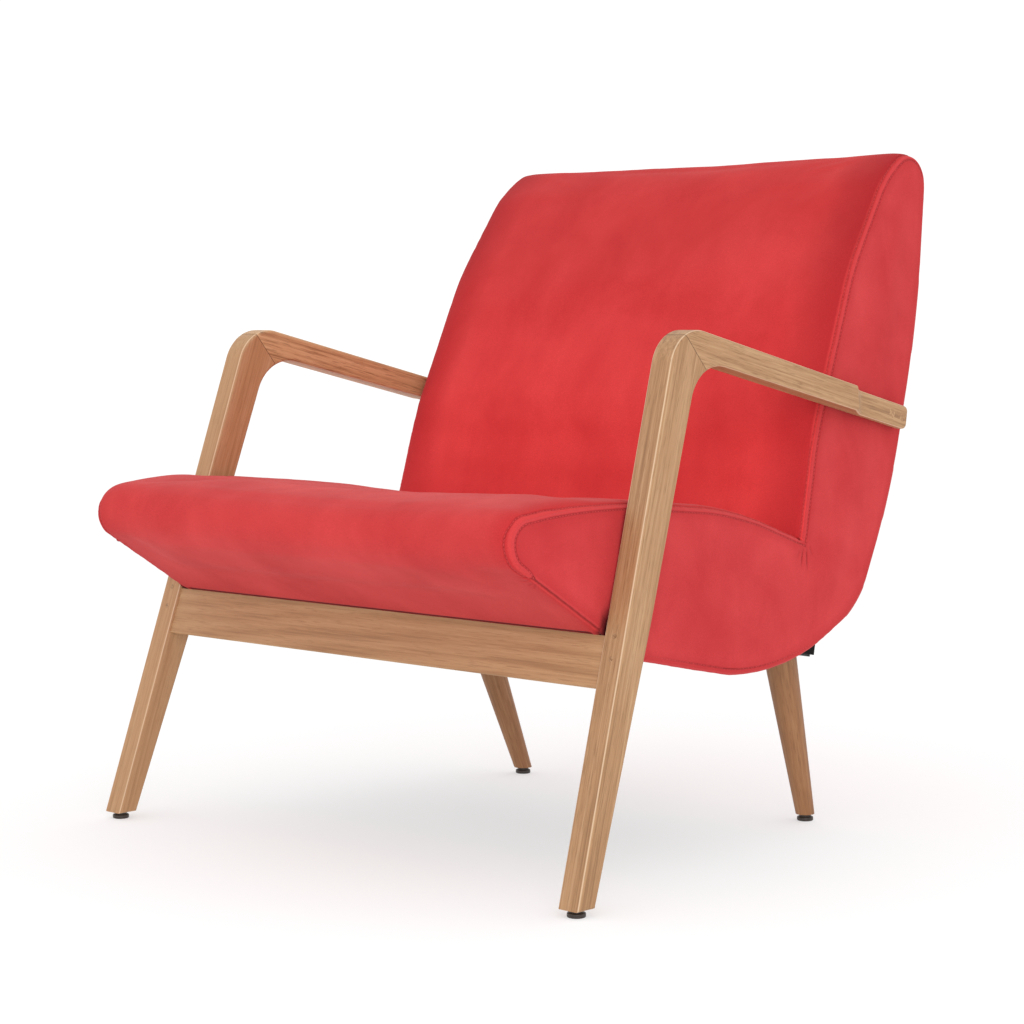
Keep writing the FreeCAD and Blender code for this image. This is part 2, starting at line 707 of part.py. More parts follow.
REAR_WAY = V(REAR_SPLAY_RATIO, -REAR_RAKE_RATIO, 1.0).normalize()
BLOCK_RUN = unit((1.0, -BLOCK_FALL_RATIO))
BLOCK_UP = (-BLOCK_RUN[1], BLOCK_RUN[0])
leg_top = rear_axis(LEG_TOP)
block_seat = (leg_top.y, leg_top.z)
block_inner = leg_top.x + PLATE_SIDE / 2 + BLOCK_OUTER_EDGE - BLOCK_LENGTH
plate_seat = along(block_seat, BLOCK_UP, -PLATE)


def leg_block():
    rear = along(block_seat, BLOCK_RUN, PLATE_SIDE / 2 + BLOCK_REAR_EDGE)
    front = along(rear, BLOCK_RUN, -BLOCK_DEPTH)
    tops = [meet(point, BLOCK_UP, skin_outline["keel"], KEEL_RUN) for point in (rear, front)]
    return strip(sharp([front, rear] + tops), block_inner, BLOCK_LENGTH)


def leg_plate():
    half = PLATE_SIDE / 2
    lower = [along(plate_seat, BLOCK_RUN, way) for way in (-half, half)]
    upper = [along(point, BLOCK_UP, PLATE) for point in reversed(lower)]
    return strip(sharp(lower + upper), leg_top.x - half, PLATE_SIDE)


def rear_leg():
    """Round tapered leg, cut level at the foot and to the plate at the top."""
    spare = REAR_TOP_DIAMETER
    length = (leg_top - rear_axis(0.0)).Length
    taper = (REAR_TOP_DIAMETER - REAR_FOOT_DIAMETER) / 2 / length
    start = rear_axis(0.0) - REAR_WAY * spare
    cone = Part.makeCone(REAR_FOOT_DIAMETER / 2 - taper * spare, REAR_TOP_DIAMETER / 2 + taper * spare,
                         length + 2 * spare, start, REAR_WAY)
    ends = [along(plate_seat, BLOCK_RUN, REACH), along(plate_seat, BLOCK_RUN, -REACH)]
    floor = [(point[0], FOOT_HEIGHT) for point in reversed(ends)]
    return cone.common(strip(sharp(ends + floor), 0.0, REACH))


def hanger_bolt():
    ends = [leg_top - REAR_WAY * BOLT_IN_LEG, leg_top + REAR_WAY * BOLT_IN_BLOCK]
    return pin_and_hole(ends[0], ends[1], BOLT_DIAMETER, HOLE_SPARE)


def plate_screws():
    pairs = []
    half = PLATE_SIDE / 2 - PLATE_SCREW_EDGE
    for across in (-half, half):
        place = upright(leg_top.x + across)
        for run in (-half, half):
            start = along(plate_seat, BLOCK_RUN, run)
            end = along(start, BLOCK_UP, PLATE_SCREW_LENGTH)
            pairs.append(pin_and_hole(place(start), place(end), PLATE_SCREW_DIAMETER, HOLE_SPARE))
    return pairs


def block_screws():
    """Screws up through the block into the seat's rear cross rail."""
    front, rear = seat_rear_rail_section()[:2]
    middle = ((front[0] + rear[0]) / 2, (front[1] + rear[1]) / 2)
    head = along(meet(middle, KEEL_UP, block_seat, BLOCK_RUN), KEEL_UP, BLOCK_SCREW_SINK)
    tip = along(middle, KEEL_UP, BLOCK_SCREW_BITE)
    places = [block_inner + BLOCK_SCREW_EDGE, leg_top.x - PLATE_SIDE / 2 - BLOCK_SCREW_EDGE]
    return [headed_screw(upright(x)(head), upright(x)(tip)) for x in places]


# Glides

def glide_and_nail(x, y):
    rim = Part.makeCylinder(GLIDE_DIAMETER / 2, GLIDE_RIM, V(x, y, 0))
    rim = rim.makeFillet(GLIDE_EDGE, [edge for edge in rim.Edges if edge.isClosed()])
    neck = Part.makeCylinder(GLIDE_NECK / 2, FOOT_HEIGHT - GLIDE_FLOOR, V(x, y, GLIDE_FLOOR))
    nail, hole = pin_and_hole(V(x, y, GLIDE_FLOOR), V(x, y, GLIDE_FLOOR + NAIL_LENGTH), NAIL_DIAMETER)
    return rim.fuse(neck).removeSplitter().cut(hole), nail, hole


# Build

rail_pins = rail_dowels()
mitre_pins = mitre_dowels()
face_pins = lock_pins()
fixings = [arm_fixing(centre) for centre in plug_centres()]
rail_fixing, rail_fixing_hole = rail_screw()
block_fixings = block_screws()
bolt, bolt_hole = hanger_bolt()
plate_fixings = plate_screws()
foot_middle = leaning(LEG_OUTER_X - LEG_WIDTH / 2)(along(foot_front, (1.0, 0.0), LEG_FOOT_DEPTH / 2))
front_glide, front_nail, front_nail_hole = glide_and_nail(foot_middle.x, foot_middle.y)
rear_foot = rear_axis(FOOT_HEIGHT)
rear_glide, rear_nail, rear_nail_hole = glide_and_nail(rear_foot.x, rear_foot.y)


def holes(pairs):
    return [hole for pin, hole in pairs]


leg, arm = side_frame()
arm_holes = [hole for plug, screw, bore, hole in fixings]
leg_holes = holes(rail_pins) + holes(mitre_pins) + holes(face_pins) + [front_nail_hole]
save_pair("front_leg", drilled(leg, leg_holes))
arm_bores = [bore for plug, screw, bore, hole in fixings]
save_pair("armrest", drilled(arm, holes(mitre_pins) + arm_bores + arm_holes))

rail_face = [along(leg_front(RAIL_BOTTOM), (1.0, 0.0), RAIL_SETBACK)]
rail_face.append(along(rail_face[0], (1.0, 0.0), RAIL_THICK / RAKE[1]))
rail_tops = [meet(point, RAKE, skin_outline["nose"], APRON_RUN) for point in reversed(rail_face)]
rail = span([(point, RAIL_EDGE) for point in rail_face] + sharp(rail_tops), LEG_OUTER_X - LEG_WIDTH)
rail_holes = holes(rail_pins) + [rail_fixing_hole]
save("front_rail", drilled(rail, rail_holes + [mirrored(hole) for hole in rail_holes]))

save("rail_dowels", both([pin for pin, hole in rail_pins]))
save("mitre_dowels", both([pin for pin, hole in mitre_pins]))
save("rail_lock_pins", both([pin for pin, hole in face_pins]))
save("arm_plugs", both([plug for plug, screw, bore, hole in fixings]))
save("arm_screws", both([screw for plug, screw, bore, hole in fixings]))
save("front_rail_screws", both([rail_fixing]))

save_pair("rear_leg", drilled(rear_leg(), [bolt_hole, rear_nail_hole]))
save_pair("leg_block", drilled(leg_block(), [bolt_hole] + holes(plate_fixings) + holes(block_fixings)))
save("leg_plates", both([drilled(leg_plate(), [bolt_hole] + holes(plate_fixings))]))
save("hanger_bolts", both([bolt]))
save("plate_screws", both([pin for pin, hole in plate_fixings]))
save("block_screws", both([pin for pin, hole in block_fixings]))

save_pair("glide_front", front_glide)
save_pair("glide_rear", rear_glide)
save("glide_nails", both([front_nail, rear_nail]))

save_pair("side_cover", drilled(side_panel(), arm_holes))
save_pair("side_padding", drilled(slab(frame_section(), LINING_X, SIDE_PADDING), arm_holes))
save_pair("side_board", drilled(slab(frame_section(), BOARD_X, SIDE_BOARD), arm_holes))

front_holes = [rail_fixing_hole, mirrored(rail_fixing_hole)]
under_holes = holes(block_fixings) + [mirrored(hole) for hole in holes(block_fixings)]
save("seat_front_crossrail", drilled(span(sharp(seat_front_rail_section()), BAY_X), front_holes))
save("seat_rear_crossrail", drilled(span(sharp(seat_rear_rail_section()), BAY_X), under_holes))
save("back_lower_crossrail", span(sharp(back_lower_rail_section()), BAY_X))
save("back_top_crossrail", span(sharp(back_top_rail_section()), BAY_X))
front_block = corner_block(seat_front_rail_section()[3], APRON_UP, APRON_RUN)
rear_block = corner_block(seat_rear_rail_section()[0], KEEL_UP, (-KEEL_RUN[0], -KEEL_RUN[1]))
save("corner_blocks", both([front_block, rear_block]))
save("back_panel", span(back_panel_section(), LINING_X))

seat_line = [lip_top, lip_strap, strap_outline["seat_bend"], strap_outline["crotch"], frame_outline["crotch"],
             frame_outline["seat_bend"]]
back_names = ["crotch", "lumbar", "back_bend", "crest", "crest_rear"]
back_line = [frame_outline[name] for name in back_names]
back_line += [strap_outline[name] for name in reversed(back_names)]
save("seat_webbing", Part.makeCompound(straps(seat_line, SEAT_STRAPS)))
save("back_webbing", Part.makeCompound(straps(back_line, BACK_STRAPS)))

save("seat_foam", soft_loft(seat_foam_section))
save("back_foam", soft_loft(back_foam_section))
save("seat_cover", drilled(soft_loft(seat_cover_section), front_holes))
save("back_cover", soft_loft(back_cover_section))
save("outside_back_cover", lower_skin(heel_hem, ["heel", "spine", "shoulder"], crest_hem))
save("dust_cover", drilled(lower_skin(front_hem, ["keel"], heel_hem), under_holes))
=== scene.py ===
"""Looks of a lounge chair: a velvet seat-and-back shell held between two oak side frames.

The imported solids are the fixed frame. The wooden and metal ones keep their shapes and get their
finishes here, and the soft ones are replaced by padded and sewn pieces modelled over them.
Metres, +Z up, front towards -Y, the sitter's left at +X.
"""

from __future__ import annotations

import json
import logging
import math
from collections.abc import Iterable, Sequence
from dataclasses import dataclass, field
from enum import Enum

import bmesh
import bpy
import numpy as np
from bmesh.types import BMEdge, BMesh, BMFace, BMLayerCollection, BMVert
from bpy.types import Material, Mesh, Node, NodeSocket, Object
from mathutils import Matrix, Vector, noise
from mathutils.bvhtree import BVHTree
from mathutils.kdtree import KDTree

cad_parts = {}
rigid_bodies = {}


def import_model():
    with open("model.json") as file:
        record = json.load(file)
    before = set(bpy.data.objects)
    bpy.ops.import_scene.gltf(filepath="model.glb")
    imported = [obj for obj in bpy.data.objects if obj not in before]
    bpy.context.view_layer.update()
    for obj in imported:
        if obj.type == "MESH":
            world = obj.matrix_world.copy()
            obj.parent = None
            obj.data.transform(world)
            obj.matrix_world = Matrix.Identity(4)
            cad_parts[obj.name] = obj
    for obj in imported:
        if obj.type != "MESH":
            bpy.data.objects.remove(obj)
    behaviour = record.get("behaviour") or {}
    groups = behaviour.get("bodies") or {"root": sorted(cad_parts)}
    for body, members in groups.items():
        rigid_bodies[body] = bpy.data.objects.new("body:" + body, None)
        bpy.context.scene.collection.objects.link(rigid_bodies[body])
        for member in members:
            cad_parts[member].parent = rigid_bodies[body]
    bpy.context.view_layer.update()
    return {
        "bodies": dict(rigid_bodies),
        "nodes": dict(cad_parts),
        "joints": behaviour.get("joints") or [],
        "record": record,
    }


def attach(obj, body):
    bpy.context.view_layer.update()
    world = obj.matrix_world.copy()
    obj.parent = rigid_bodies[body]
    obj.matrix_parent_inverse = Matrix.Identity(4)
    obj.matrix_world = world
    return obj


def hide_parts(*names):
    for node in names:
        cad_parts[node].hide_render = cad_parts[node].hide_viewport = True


Colour = tuple[float, float, float]
Point = tuple[float, float, float]
Pair = tuple[float, float]
WELD = 1e-6
MOST_GREYS: Pair = (0.3, 0.7)
WHOLE: Pair = (0.0, 1.0)
WHITE = (1.0, 1.0, 1.0, 1.0)
log = logging.getLogger("lounge_chair")


class Side(Enum):
    """One side of the chair, as its sitter names it, with the sign of its X."""

    LEFT = 1
    RIGHT = -1

    @property
    def word(self) -> str:
        """The side's word in the names of pieces."""
        return self.name.lower()


class Figure(Enum):
    """Pattern that the saw has laid open on a piece of oak."""

    STRAIGHT = "straight"
    FLAMED = "flamed"


class FinishNodes:
    """Node tree of one finish, with short calls for the nodes that the finishes share."""

    def __init__(self, name: str) -> None:
        """Starts a material with its shader and its Object coordinates.

        Args:
            name: Name of the material.
        """
        self.material = bpy.data.materials.new(name)
        self.material.use_nodes = True
        self.tree = self.material.node_tree
        self.shader = self.tree.nodes["Principled BSDF"]
        self.coords = self.add("ShaderNodeTexCoord").outputs["Object"]

    def add(self, kind: str, **settings: object) -> Node:
        """Adds one node.

        Args:
            kind: Type name of the node.
            settings: Properties of the node.

        Returns:
            The new node.
        """
        node = self.tree.nodes.new(kind)
        for name, value in settings.items():
            setattr(node, name, value)
        return node

    def feed(self, socket: NodeSocket, value: object) -> None:
        """Links a socket to another, or sets it to a constant.

        Args:
            socket: The input.
            value: An output to link, or a value.
        """
        if isinstance(value, NodeSocket):
            self.tree.links.new(value, socket)
        else:
            socket.default_value = value

    def paint(self, **values: object) -> None:
        """Sets inputs of the shader, named with underscores for spaces.

        Args:
            values: An output or a constant for each input.
        """
        for name, value in values.items():
            self.feed(self.shader.inputs[name.replace("_", " ")], value)

    def stretched(self, lengths: Point, turn: Point = (0, 0, 0),
                  centre: Point = (0, 0, 0)) -> NodeSocket:
        """Object coordinates measured in units of the given lengths.

        Args:
            lengths: Length of one unit along each turned axis.
            turn: Euler turn of the axes.
            centre: Origin of the pattern.

        Returns:
            The mapped vector.
        """
        node = self.add("ShaderNodeMapping", vector_type="TEXTURE")
        self.feed(node.inputs["Vector"], self.coords)
        self.feed(node.inputs["Location"], centre)
        self.feed(node.inputs["Rotation"], turn)
        self.feed(node.inputs["Scale"], lengths)
        return node.outputs["Vector"]

    def noise(self, vector: NodeSocket, scale: float = 1.0, detail: float = 2.0, roughness: float = 0.5,
              distortion: float = 0.0) -> NodeSocket:
        """Noise texture's grey value.

        Args:
            vector: Coordinates.
            scale: Features for each unit of them.
            detail: Octaves.
            roughness: Share of the finer octaves.
            distortion: Swirl.

        Returns:
            The grey value.
        """
        node = self.add("ShaderNodeTexNoise")
        self.feed(node.inputs["Vector"], vector)
        values = {"Scale": scale, "Detail": detail, "Roughness": roughness, "Distortion": distortion}
        for name, value in values.items():
            self.feed(node.inputs[name], value)
        return node.outputs["Fac"]

    def ramp(self, factor: NodeSocket, stops: Sequence[tuple[float, Colour]]) -> NodeSocket:
        """Colour ramp.

        Args:
            factor: Grey value to look up.
            stops: Place and colour of each stop.

        Returns:
            The colour.
        """
        node = self.add("ShaderNodeValToRGB")
        marks = node.color_ramp.elements
        while len(marks) < len(stops):
            marks.new(1.0)
        for mark, (place, colour) in zip(marks, stops):
            mark.position = place
            mark.color = (*colour, 1.0)
        self.feed(node.inputs["Fac"], factor)
        return node.outputs["Color"]

    def span(self, value: NodeSocket, source: Pair, target: Pair) -> NodeSocket:
        """Grey value moved from one range to another, and held inside it.

        Args:
            value: Grey value.
            source: Range that it comes from.
            target: Range that it goes to.

        Returns:
            The moved value.
        """
        node = self.add("ShaderNodeMapRange")
        for name, number in zip(("From Min", "From Max", "To Min", "To Max"), (*source, *target)):
            self.feed(node.inputs[name], number)
        self.feed(node.inputs["Value"], value)
        return node.outputs["Result"]

    def sums(self, operation: str, first: object, second: object) -> NodeSocket:
        """Arithmetic on two grey values.

        Args:
            operation: Name of the operation.
            first: First value.
            second: Second value.

        Returns:
            The result.
        """
        node = self.add("ShaderNodeMath", operation=operation)
        self.feed(node.inputs[0], first)
        self.feed(node.inputs[1], second)
        return node.outputs["Value"]

    def shared(self, first: NodeSocket, second: NodeSocket, share: float) -> NodeSocket:
        """Sum of two grey values.

        Args:
            first: First value.
            second: Second value.
            share: Share of the first, with the rest for the second.

        Returns:
            The sum.
        """
        kept = self.sums("MULTIPLY", first, share)
        return self.sums("ADD", kept, self.sums("MULTIPLY", second, 1.0 - share))

    def parts(self, vector: NodeSocket) -> bpy.types.NodeOutputs:
        """Takes a vector apart.

        Args:
            vector: The vector.

        Returns:
            Its parts, under the names X, Y and Z.
        """
        node = self.add("ShaderNodeSeparateXYZ")
        self.feed(node.inputs[0], vector)
        return node.outputs

    def own_value(self, name: str) -> NodeSocket:
        """Value that a piece's own points hold under a name."""
        return self.add("ShaderNodeAttribute", attribute_name=name).outputs["Fac"]

    def mix(self, factor: object, first: object, second: object, blend: str = "MIX") -> NodeSocket:
        """Mix of two colours.

        Args:
            factor: Share of the second.
            first: First colour.
            second: Second colour.
            blend: How they mix.

        Returns:
            The mixed colour.
        """
        node = self.add("ShaderNodeMix", data_type="RGBA", blend_type=blend)
        self.feed(node.inputs["Factor"], factor)
        for name, value in (("A", first), ("B", second)):
            self.feed(node.inputs[name], (*value, 1.0) if isinstance(value, tuple) else value)
        return node.outputs["Result"]

    def bump(self, height: NodeSocket, strength: float, distance: float,
             below: NodeSocket | None = None) -> NodeSocket:
        """Normal of a bumpy surface.

        Args:
            height: Grey height.
            strength: Share of the effect.
            distance: Depth of the relief.
            below: Normal of a coarser relief under it.

        Returns:
            The normal.
        """
        node = self.add("ShaderNodeBump")
        self.feed(node.inputs["Strength"], strength)
        self.feed(node.inputs["Distance"], distance)
        self.feed(node.inputs["Height"], height)
        if below is not None:
            self.feed(node.inputs["Normal"], below)
        return node.outputs["Normal"]


@dataclass(frozen=True)
class Velvet:
    """Short-pile velvet whose nap lies unevenly, with painted shade beside its seams and in its grooves, a
    painted highlight on the ridge at each seam, and painted light that changes with height.
    """

    name: str
    deep: Colour
    lit: Colour
    # Painted shade in a strip beside the seams.
    seam_shade: Colour
    seam_width: float = 0.028
    seam_start: float = 0.002
    seam_share: float = 0.75
    # Painted highlight on the ridge right at the seams, and its share.
    ridge_highlight: Pair = (0.0018, 0.0034)
    ridge_highlight_share: float = 0.70
    # Colour of the painted shade in grooves, creases and gaps.
    painted_shade: Colour = (0.030, 0.002, 0.003)
    cloud: float = 0.10
    cloud_share: float = 0.7
    streak: Point = (0.045, 0.045, 0.12)
    pile: float = 0.0011
    pile_greys: Pair = (0.25, 0.75)
    pile_shades: Pair = (0.86, 1.08)
    pile_relief: Pair = (0.22, 0.0005)
    crush: float = 0.011
    crush_relief: Pair = (0.10, 0.0012)
    roughness: Pair = (0.92, 0.80)
    specular: float = 0.12
    sheen: float = 0.12
    sheen_roughness: float = 0.42
    sheen_tint: Colour = (1.0, 0.55, 0.53)
    # Painted light: how much brighter or darker the colour is at the lower and at the upper of the heights.
    painted_light_by_height: Pair = (1.0, 1.0)
    heights: Pair = (0.42, 0.65)

    def material(self) -> Material:
        """Builds the material.

        Returns:
            The material.
        """
        nodes = FinishNodes(self.name)
        clouds = nodes.noise(nodes.coords, 1 / self.cloud, detail=3.0, roughness=0.55, distortion=0.3)
        streaks = nodes.noise(nodes.stretched(self.streak), detail=3.0, roughness=0.6, distortion=0.5)
        nap = nodes.shared(clouds, streaks, self.cloud_share)
        colour = nodes.ramp(nodes.span(nap, MOST_GREYS, WHOLE), [(0.0, self.deep), (1.0, self.lit)])
        # Painted shade beside the seams, strongest at them.
        gap = nodes.own_value("gap")
        beside = nodes.span(gap, (self.seam_start, self.seam_width), (self.seam_share, 0.0))
        colour = nodes.mix(beside, colour, self.seam_shade)
        # Painted highlight on the ridge right at the seams.
        colour = nodes.mix(nodes.span(gap, self.ridge_highlight, (self.ridge_highlight_share, 0.0)), colour, self.lit)
        # Painted shade in grooves, creases and gaps, as far as press() marked the points.
        colour = nodes.mix(nodes.own_value("painted_shade"), colour, self.painted_shade)
        pile = nodes.noise(nodes.coords, 1 / self.pile, roughness=0.6)
        # Painted light and shade that change with height.
        height = nodes.parts(nodes.coords)["Z"]
        shade = nodes.sums("MULTIPLY", nodes.span(pile, self.pile_greys, self.pile_shades),
                           nodes.span(height, self.heights, self.painted_light_by_height))
        colour = nodes.mix(1.0, colour, shade, "MULTIPLY")
        crush = nodes.noise(nodes.coords, 1 / self.crush, detail=3.0, roughness=0.6, distortion=0.4)
        relief = nodes.bump(crush, *self.crush_relief)
        nodes.paint(Base_Color=colour, Roughness=nodes.span(nap, MOST_GREYS, self.roughness),
                    Specular_IOR_Level=self.specular, Sheen_Weight=self.sheen,
                    Sheen_Roughness=self.sheen_roughness, Sheen_Tint=(*self.sheen_tint, 1.0),
                    Normal=nodes.bump(pile, *self.pile_relief, relief))
        return nodes.material


@dataclass(frozen=True)
class Oak:
    """Oiled oak whose grain runs along one piece, with a painted highlight along its rounded edges."""

    name: str
    axis: Point
    centre: Point = (0.0, 0.0, 0.0)
    figure: Figure = Figure.STRAIGHT
    dark: Colour = (0.220, 0.105, 0.042)
    body: Colour = (0.420, 0.225, 0.103)
    pale: Colour = (0.560, 0.345, 0.185)
    # Painted highlight along the rounded edges, and its share there.
    arris_highlight: Colour = (0.78, 0.58, 0.40)
    arris: float = 0.60
    arris_turn: Pair = (0.19, 0.25)
    broad: Point = (0.42, 0.020, 0.020)
    fine: Point = (0.16, 0.0030, 0.0030)
    broad_share: float = 0.35
    grain_greys: Pair = (0.34, 0.66)
    body_place: float = 0.45
    flame: Point = (0.50, 0.055, 0.055)
    flame_share: float = 0.10
    pore: Point = (0.020, 0.0010, 0.0010)
    pore_greys: Pair = (0.55, 0.68)
    pore_share: float = 0.60
    roughness: Pair = (0.46, 0.60)
    specular: float = 0.4
    relief: Pair = (0.20, 0.0004)

    def material(self) -> Material:
        """Builds the material.

        Returns:
            The material.
        """
        nodes = FinishNodes(self.name)
        turn = tuple(Vector((1, 0, 0)).rotation_difference(Vector(self.axis)).to_euler())
        broad = nodes.noise(nodes.stretched(self.broad, turn, self.centre), detail=5.0, roughness=0.58,
                            distortion=0.9)
        fine = nodes.noise(nodes.stretched(self.fine, turn, self.centre), detail=5.0, roughness=0.66,
                           distortion=0.5)
        figure = nodes.shared(broad, fine, self.broad_share)
        if self.figure is Figure.FLAMED:
            figure = nodes.shared(figure, self.rings(nodes, turn), 1.0 - self.flame_share)
        colour = nodes.ramp(nodes.span(figure, self.grain_greys, WHOLE),
                            [(0.0, self.dark), (self.body_place, self.body), (1.0, self.pale)])
        pores = nodes.noise(nodes.stretched(self.pore, turn, self.centre))
        open_pores = nodes.span(pores, self.pore_greys, (0.0, self.pore_share))
        colour = nodes.mix(open_pores, colour, self.dark)
        # Painted highlight on the rounded edges, where the normal leans halfway between X and the other axes.
        facing = nodes.parts(nodes.add("ShaderNodeNewGeometry").outputs["Normal"])
        across = nodes.sums("ABSOLUTE", facing["X"], 0.0)
        edge = nodes.sums("MULTIPLY", across, nodes.sums("SUBTRACT", 1.0, across))
        colour = nodes.mix(nodes.span(edge, self.arris_turn, (0.0, self.arris)), colour, self.arris_highlight)
        height = nodes.sums("SUBTRACT", fine, open_pores)
        nodes.paint(Base_Color=colour, Roughness=nodes.span(fine, MOST_GREYS, self.roughness),
                    Specular_IOR_Level=self.specular, Normal=nodes.bump(height, *self.relief))
        return nodes.material

    def rings(self, nodes: FinishNodes, turn: Point) -> NodeSocket:
        """Growth rings that a flat saw cut lays open as flames.

        Args:
            nodes: The finish's nodes.
            turn: Euler turn of the grain.

        Returns:
            Their grey value.
        """
        rings = nodes.add("ShaderNodeTexWave", wave_type="RINGS", rings_direction="Y", wave_profile="SIN")
        nodes.feed(rings.inputs["Vector"], nodes.stretched(self.flame, turn, self.centre))
        values = {"Scale": 1.1, "Distortion": 6.0, "Detail": 3.0, "Detail Scale": 0.8}
        for name, value in values.items():
            nodes.feed(rings.inputs[name], value)
        return rings.outputs["Fac"]


@dataclass(frozen=True)
class Mottled:
    """Plain finish with a fine mottle and grain: timber inside, metal, plastic or dust cloth."""

    name: str
    first: Colour
    second: Colour
    lengths: Point
    roughness: Pair
    metallic: float = 0.0
    relief: Pair = (0.25, 0.0002)
    specular: float = 0.5

    def material(self) -> Material:
        """Builds the material.

        Returns:
            The material.
        """
        nodes = FinishNodes(self.name)
        mottle = nodes.noise(nodes.stretched(self.lengths), detail=4.0, roughness=0.6, distortion=0.3)
        colour = nodes.ramp(nodes.span(mottle, MOST_GREYS, WHOLE), [(0.0, self.first), (1.0, self.second)])
        nodes.paint(Base_Color=colour, Metallic=self.metallic,
                    Roughness=nodes.span(mottle, MOST_GREYS, self.roughness),
                    Specular_IOR_Level=self.specular, Normal=nodes.bump(mottle, *self.relief))
        return nodes.material


def copy_of(solid: Object) -> BMesh:
    """Copy of a solid of the frame, with its points merged.

    Args:
        solid: The solid.

    Returns:
        A new bmesh.
    """
    form = bmesh.new()
    form.from_mesh(solid.data)
    bmesh.ops.remove_doubles(form, verts=form.verts, dist=WELD)
    return form


def to_piece(name: str, form: BMesh) -> Object:
    """Makes a smooth-shaded object of a bmesh and frees it.

    Args:
        name: Name of the piece.
        form: Its shape.

    Returns:
        The object, at the origin.
    """
    mesh = bpy.data.meshes.new(name)
    form.to_mesh(mesh)
    form.free()
    mesh.shade_smooth()
    piece = bpy.data.objects.new(name, mesh)
    bpy.context.scene.collection.objects.link(piece)
    return piece


def bake_modifiers(piece: Object) -> None:
    """Applies every modifier of a piece to its mesh.

    Args:
        piece: The piece.
    """
    graph = bpy.context.evaluated_depsgraph_get()
    mesh = bpy.data.meshes.new_from_object(piece.evaluated_get(graph))
    old = piece.data
    piece.modifiers.clear()
    piece.data = mesh
    bpy.data.meshes.remove(old)
    mesh.name = piece.name
    mesh.shade_smooth()


def points_of(mesh: Mesh) -> tuple[np.ndarray, np.ndarray]:
    """Places and normals of a mesh's vertices.

    Args:
        mesh: The mesh.

    Returns:
        Two arrays of one row for each vertex.
    """
    places = np.empty(len(mesh.vertices) * 3, np.float32)
    mesh.vertices.foreach_get("co", places)
    normals = np.empty(len(mesh.vertices) * 3, np.float32)
    mesh.vertex_normals.foreach_get("vector", normals)
    return places.reshape(-1, 3).astype(float), normals.reshape(-1, 3).astype(float)


def put_points(mesh: Mesh, places: np.ndarray) -> None:
    """Moves a mesh's vertices.

    Args:
        mesh: The mesh.
        places: New place of each vertex.
    """
    mesh.vertices.foreach_set("co", places.astype(np.float32).ravel())
    mesh.update()


def values_of(mesh: Mesh, name: str) -> np.ndarray:
    """Values of one attribute of a mesh's vertices.

    Args:
        mesh: The mesh, which gets the attribute if it has none.
        name: The attribute.

    Returns:
        One value for each vertex.
    """
    layer = mesh.attributes.get(name) or mesh.attributes.new(name, "FLOAT", "POINT")
    values = np.zeros(len(mesh.vertices), np.float32)
    layer.data.foreach_get("value", values)
    return values


def finder(places: Sequence[Vector]) -> KDTree:
    """Search tree over some points.

    Args:
        places: The points.

    Returns:
        The tree.
    """
    tree = KDTree(len(places))
    for index, place in enumerate(places):
        tree.insert(place, index)
    tree.balance()
    return tree


def tree_of(meshes: Iterable[Mesh]) -> BVHTree:
    """Search tree over the faces of some meshes.

    Args:
        meshes: The meshes.

    Returns:
        One tree.
    """
    points: list[Vector] = []
    faces: list[list[int]] = []
    for mesh in meshes:
        start = len(points)
        points += [vertex.co.copy() for vertex in mesh.vertices]
        faces += [[start + index for index in face.vertices] for face in mesh.polygons]
    return BVHTree.FromPolygons(points, faces)


def ease_in(value: float, low: float, high: float) -> float:
    """Smooth step from 0 at low to 1 at high.

    Args:
        value: Where to look.
        low: Start of the step.
        high: End of the step.

    Returns:
        A number from 0 to 1.
    """
    share = min(1.0, max(0.0, (value - low) / (high - low)))
    return share * share * (3.0 - 2.0 * share)


@dataclass(frozen=True)
class Crease:
    """Groove in a soft piece: depth, half its width, how much painted shade darkens it and whether it runs
    out at its ends.
    """

    depth: float
    reach: float
    shade: float
    fades: bool = False


def press(piece: Object, line: Sequence[Vector], crease: Crease) -> None:
    """Presses a groove into a piece along a line, and paints shade into it as a value of the piece's points.

    Args:
        piece: The piece.
        line: Points on its surface, closer together than the groove is wide.
        crease: The groove.
    """
    tree = finder(line)
    places, normals = points_of(piece.data)
    painted_shades = values_of(piece.data, "painted_shade")
    marks = np.array(line)
    reach = crease.reach
    inside = np.all((places > marks.min(axis=0) - reach) & (places < marks.max(axis=0) + reach), axis=1)
    for index in np.flatnonzero(inside):
        _, near, gap = tree.find(places[index])
        if gap < reach:
            share = (1.0 - (gap / reach) ** 2) ** 2
            fade = math.sin(math.pi * (near + 0.5) / len(line)) if crease.fades else 1.0
            places[index] -= normals[index] * (crease.depth * share * fade)
            # Painted shade, as dark as the groove is deep here.
            painted_shades[index] = max(painted_shades[index], crease.shade * share * fade)
    put_points(piece.data, places)
    piece.data.attributes["painted_shade"].data.foreach_set("value", painted_shades)


def crumple(piece: Object, heights: Sequence[Pair], beside: float) -> None:
    """Gives a piece the uneven lie of stuffed fabric where it is free, and small ripples beside its seams.

    Args:
        piece: The piece.
        heights: Wavelength and height of each size of unevenness, the ripples' last.
        beside: How far from a seam the ripples die down.
    """
    places, normals = points_of(piece.data)
    shares = [values_of(piece.data, "freedom")] * (len(heights) - 1)
    shares.append(np.exp(-values_of(piece.data, "gap") / beside))
    for (length, height), share in zip(heights, shares):
        lift = np.array([noise.noise(Vector(place) / length) for place in places])
        places += normals * (lift * height * share)[:, None]
    put_points(piece.data, places)


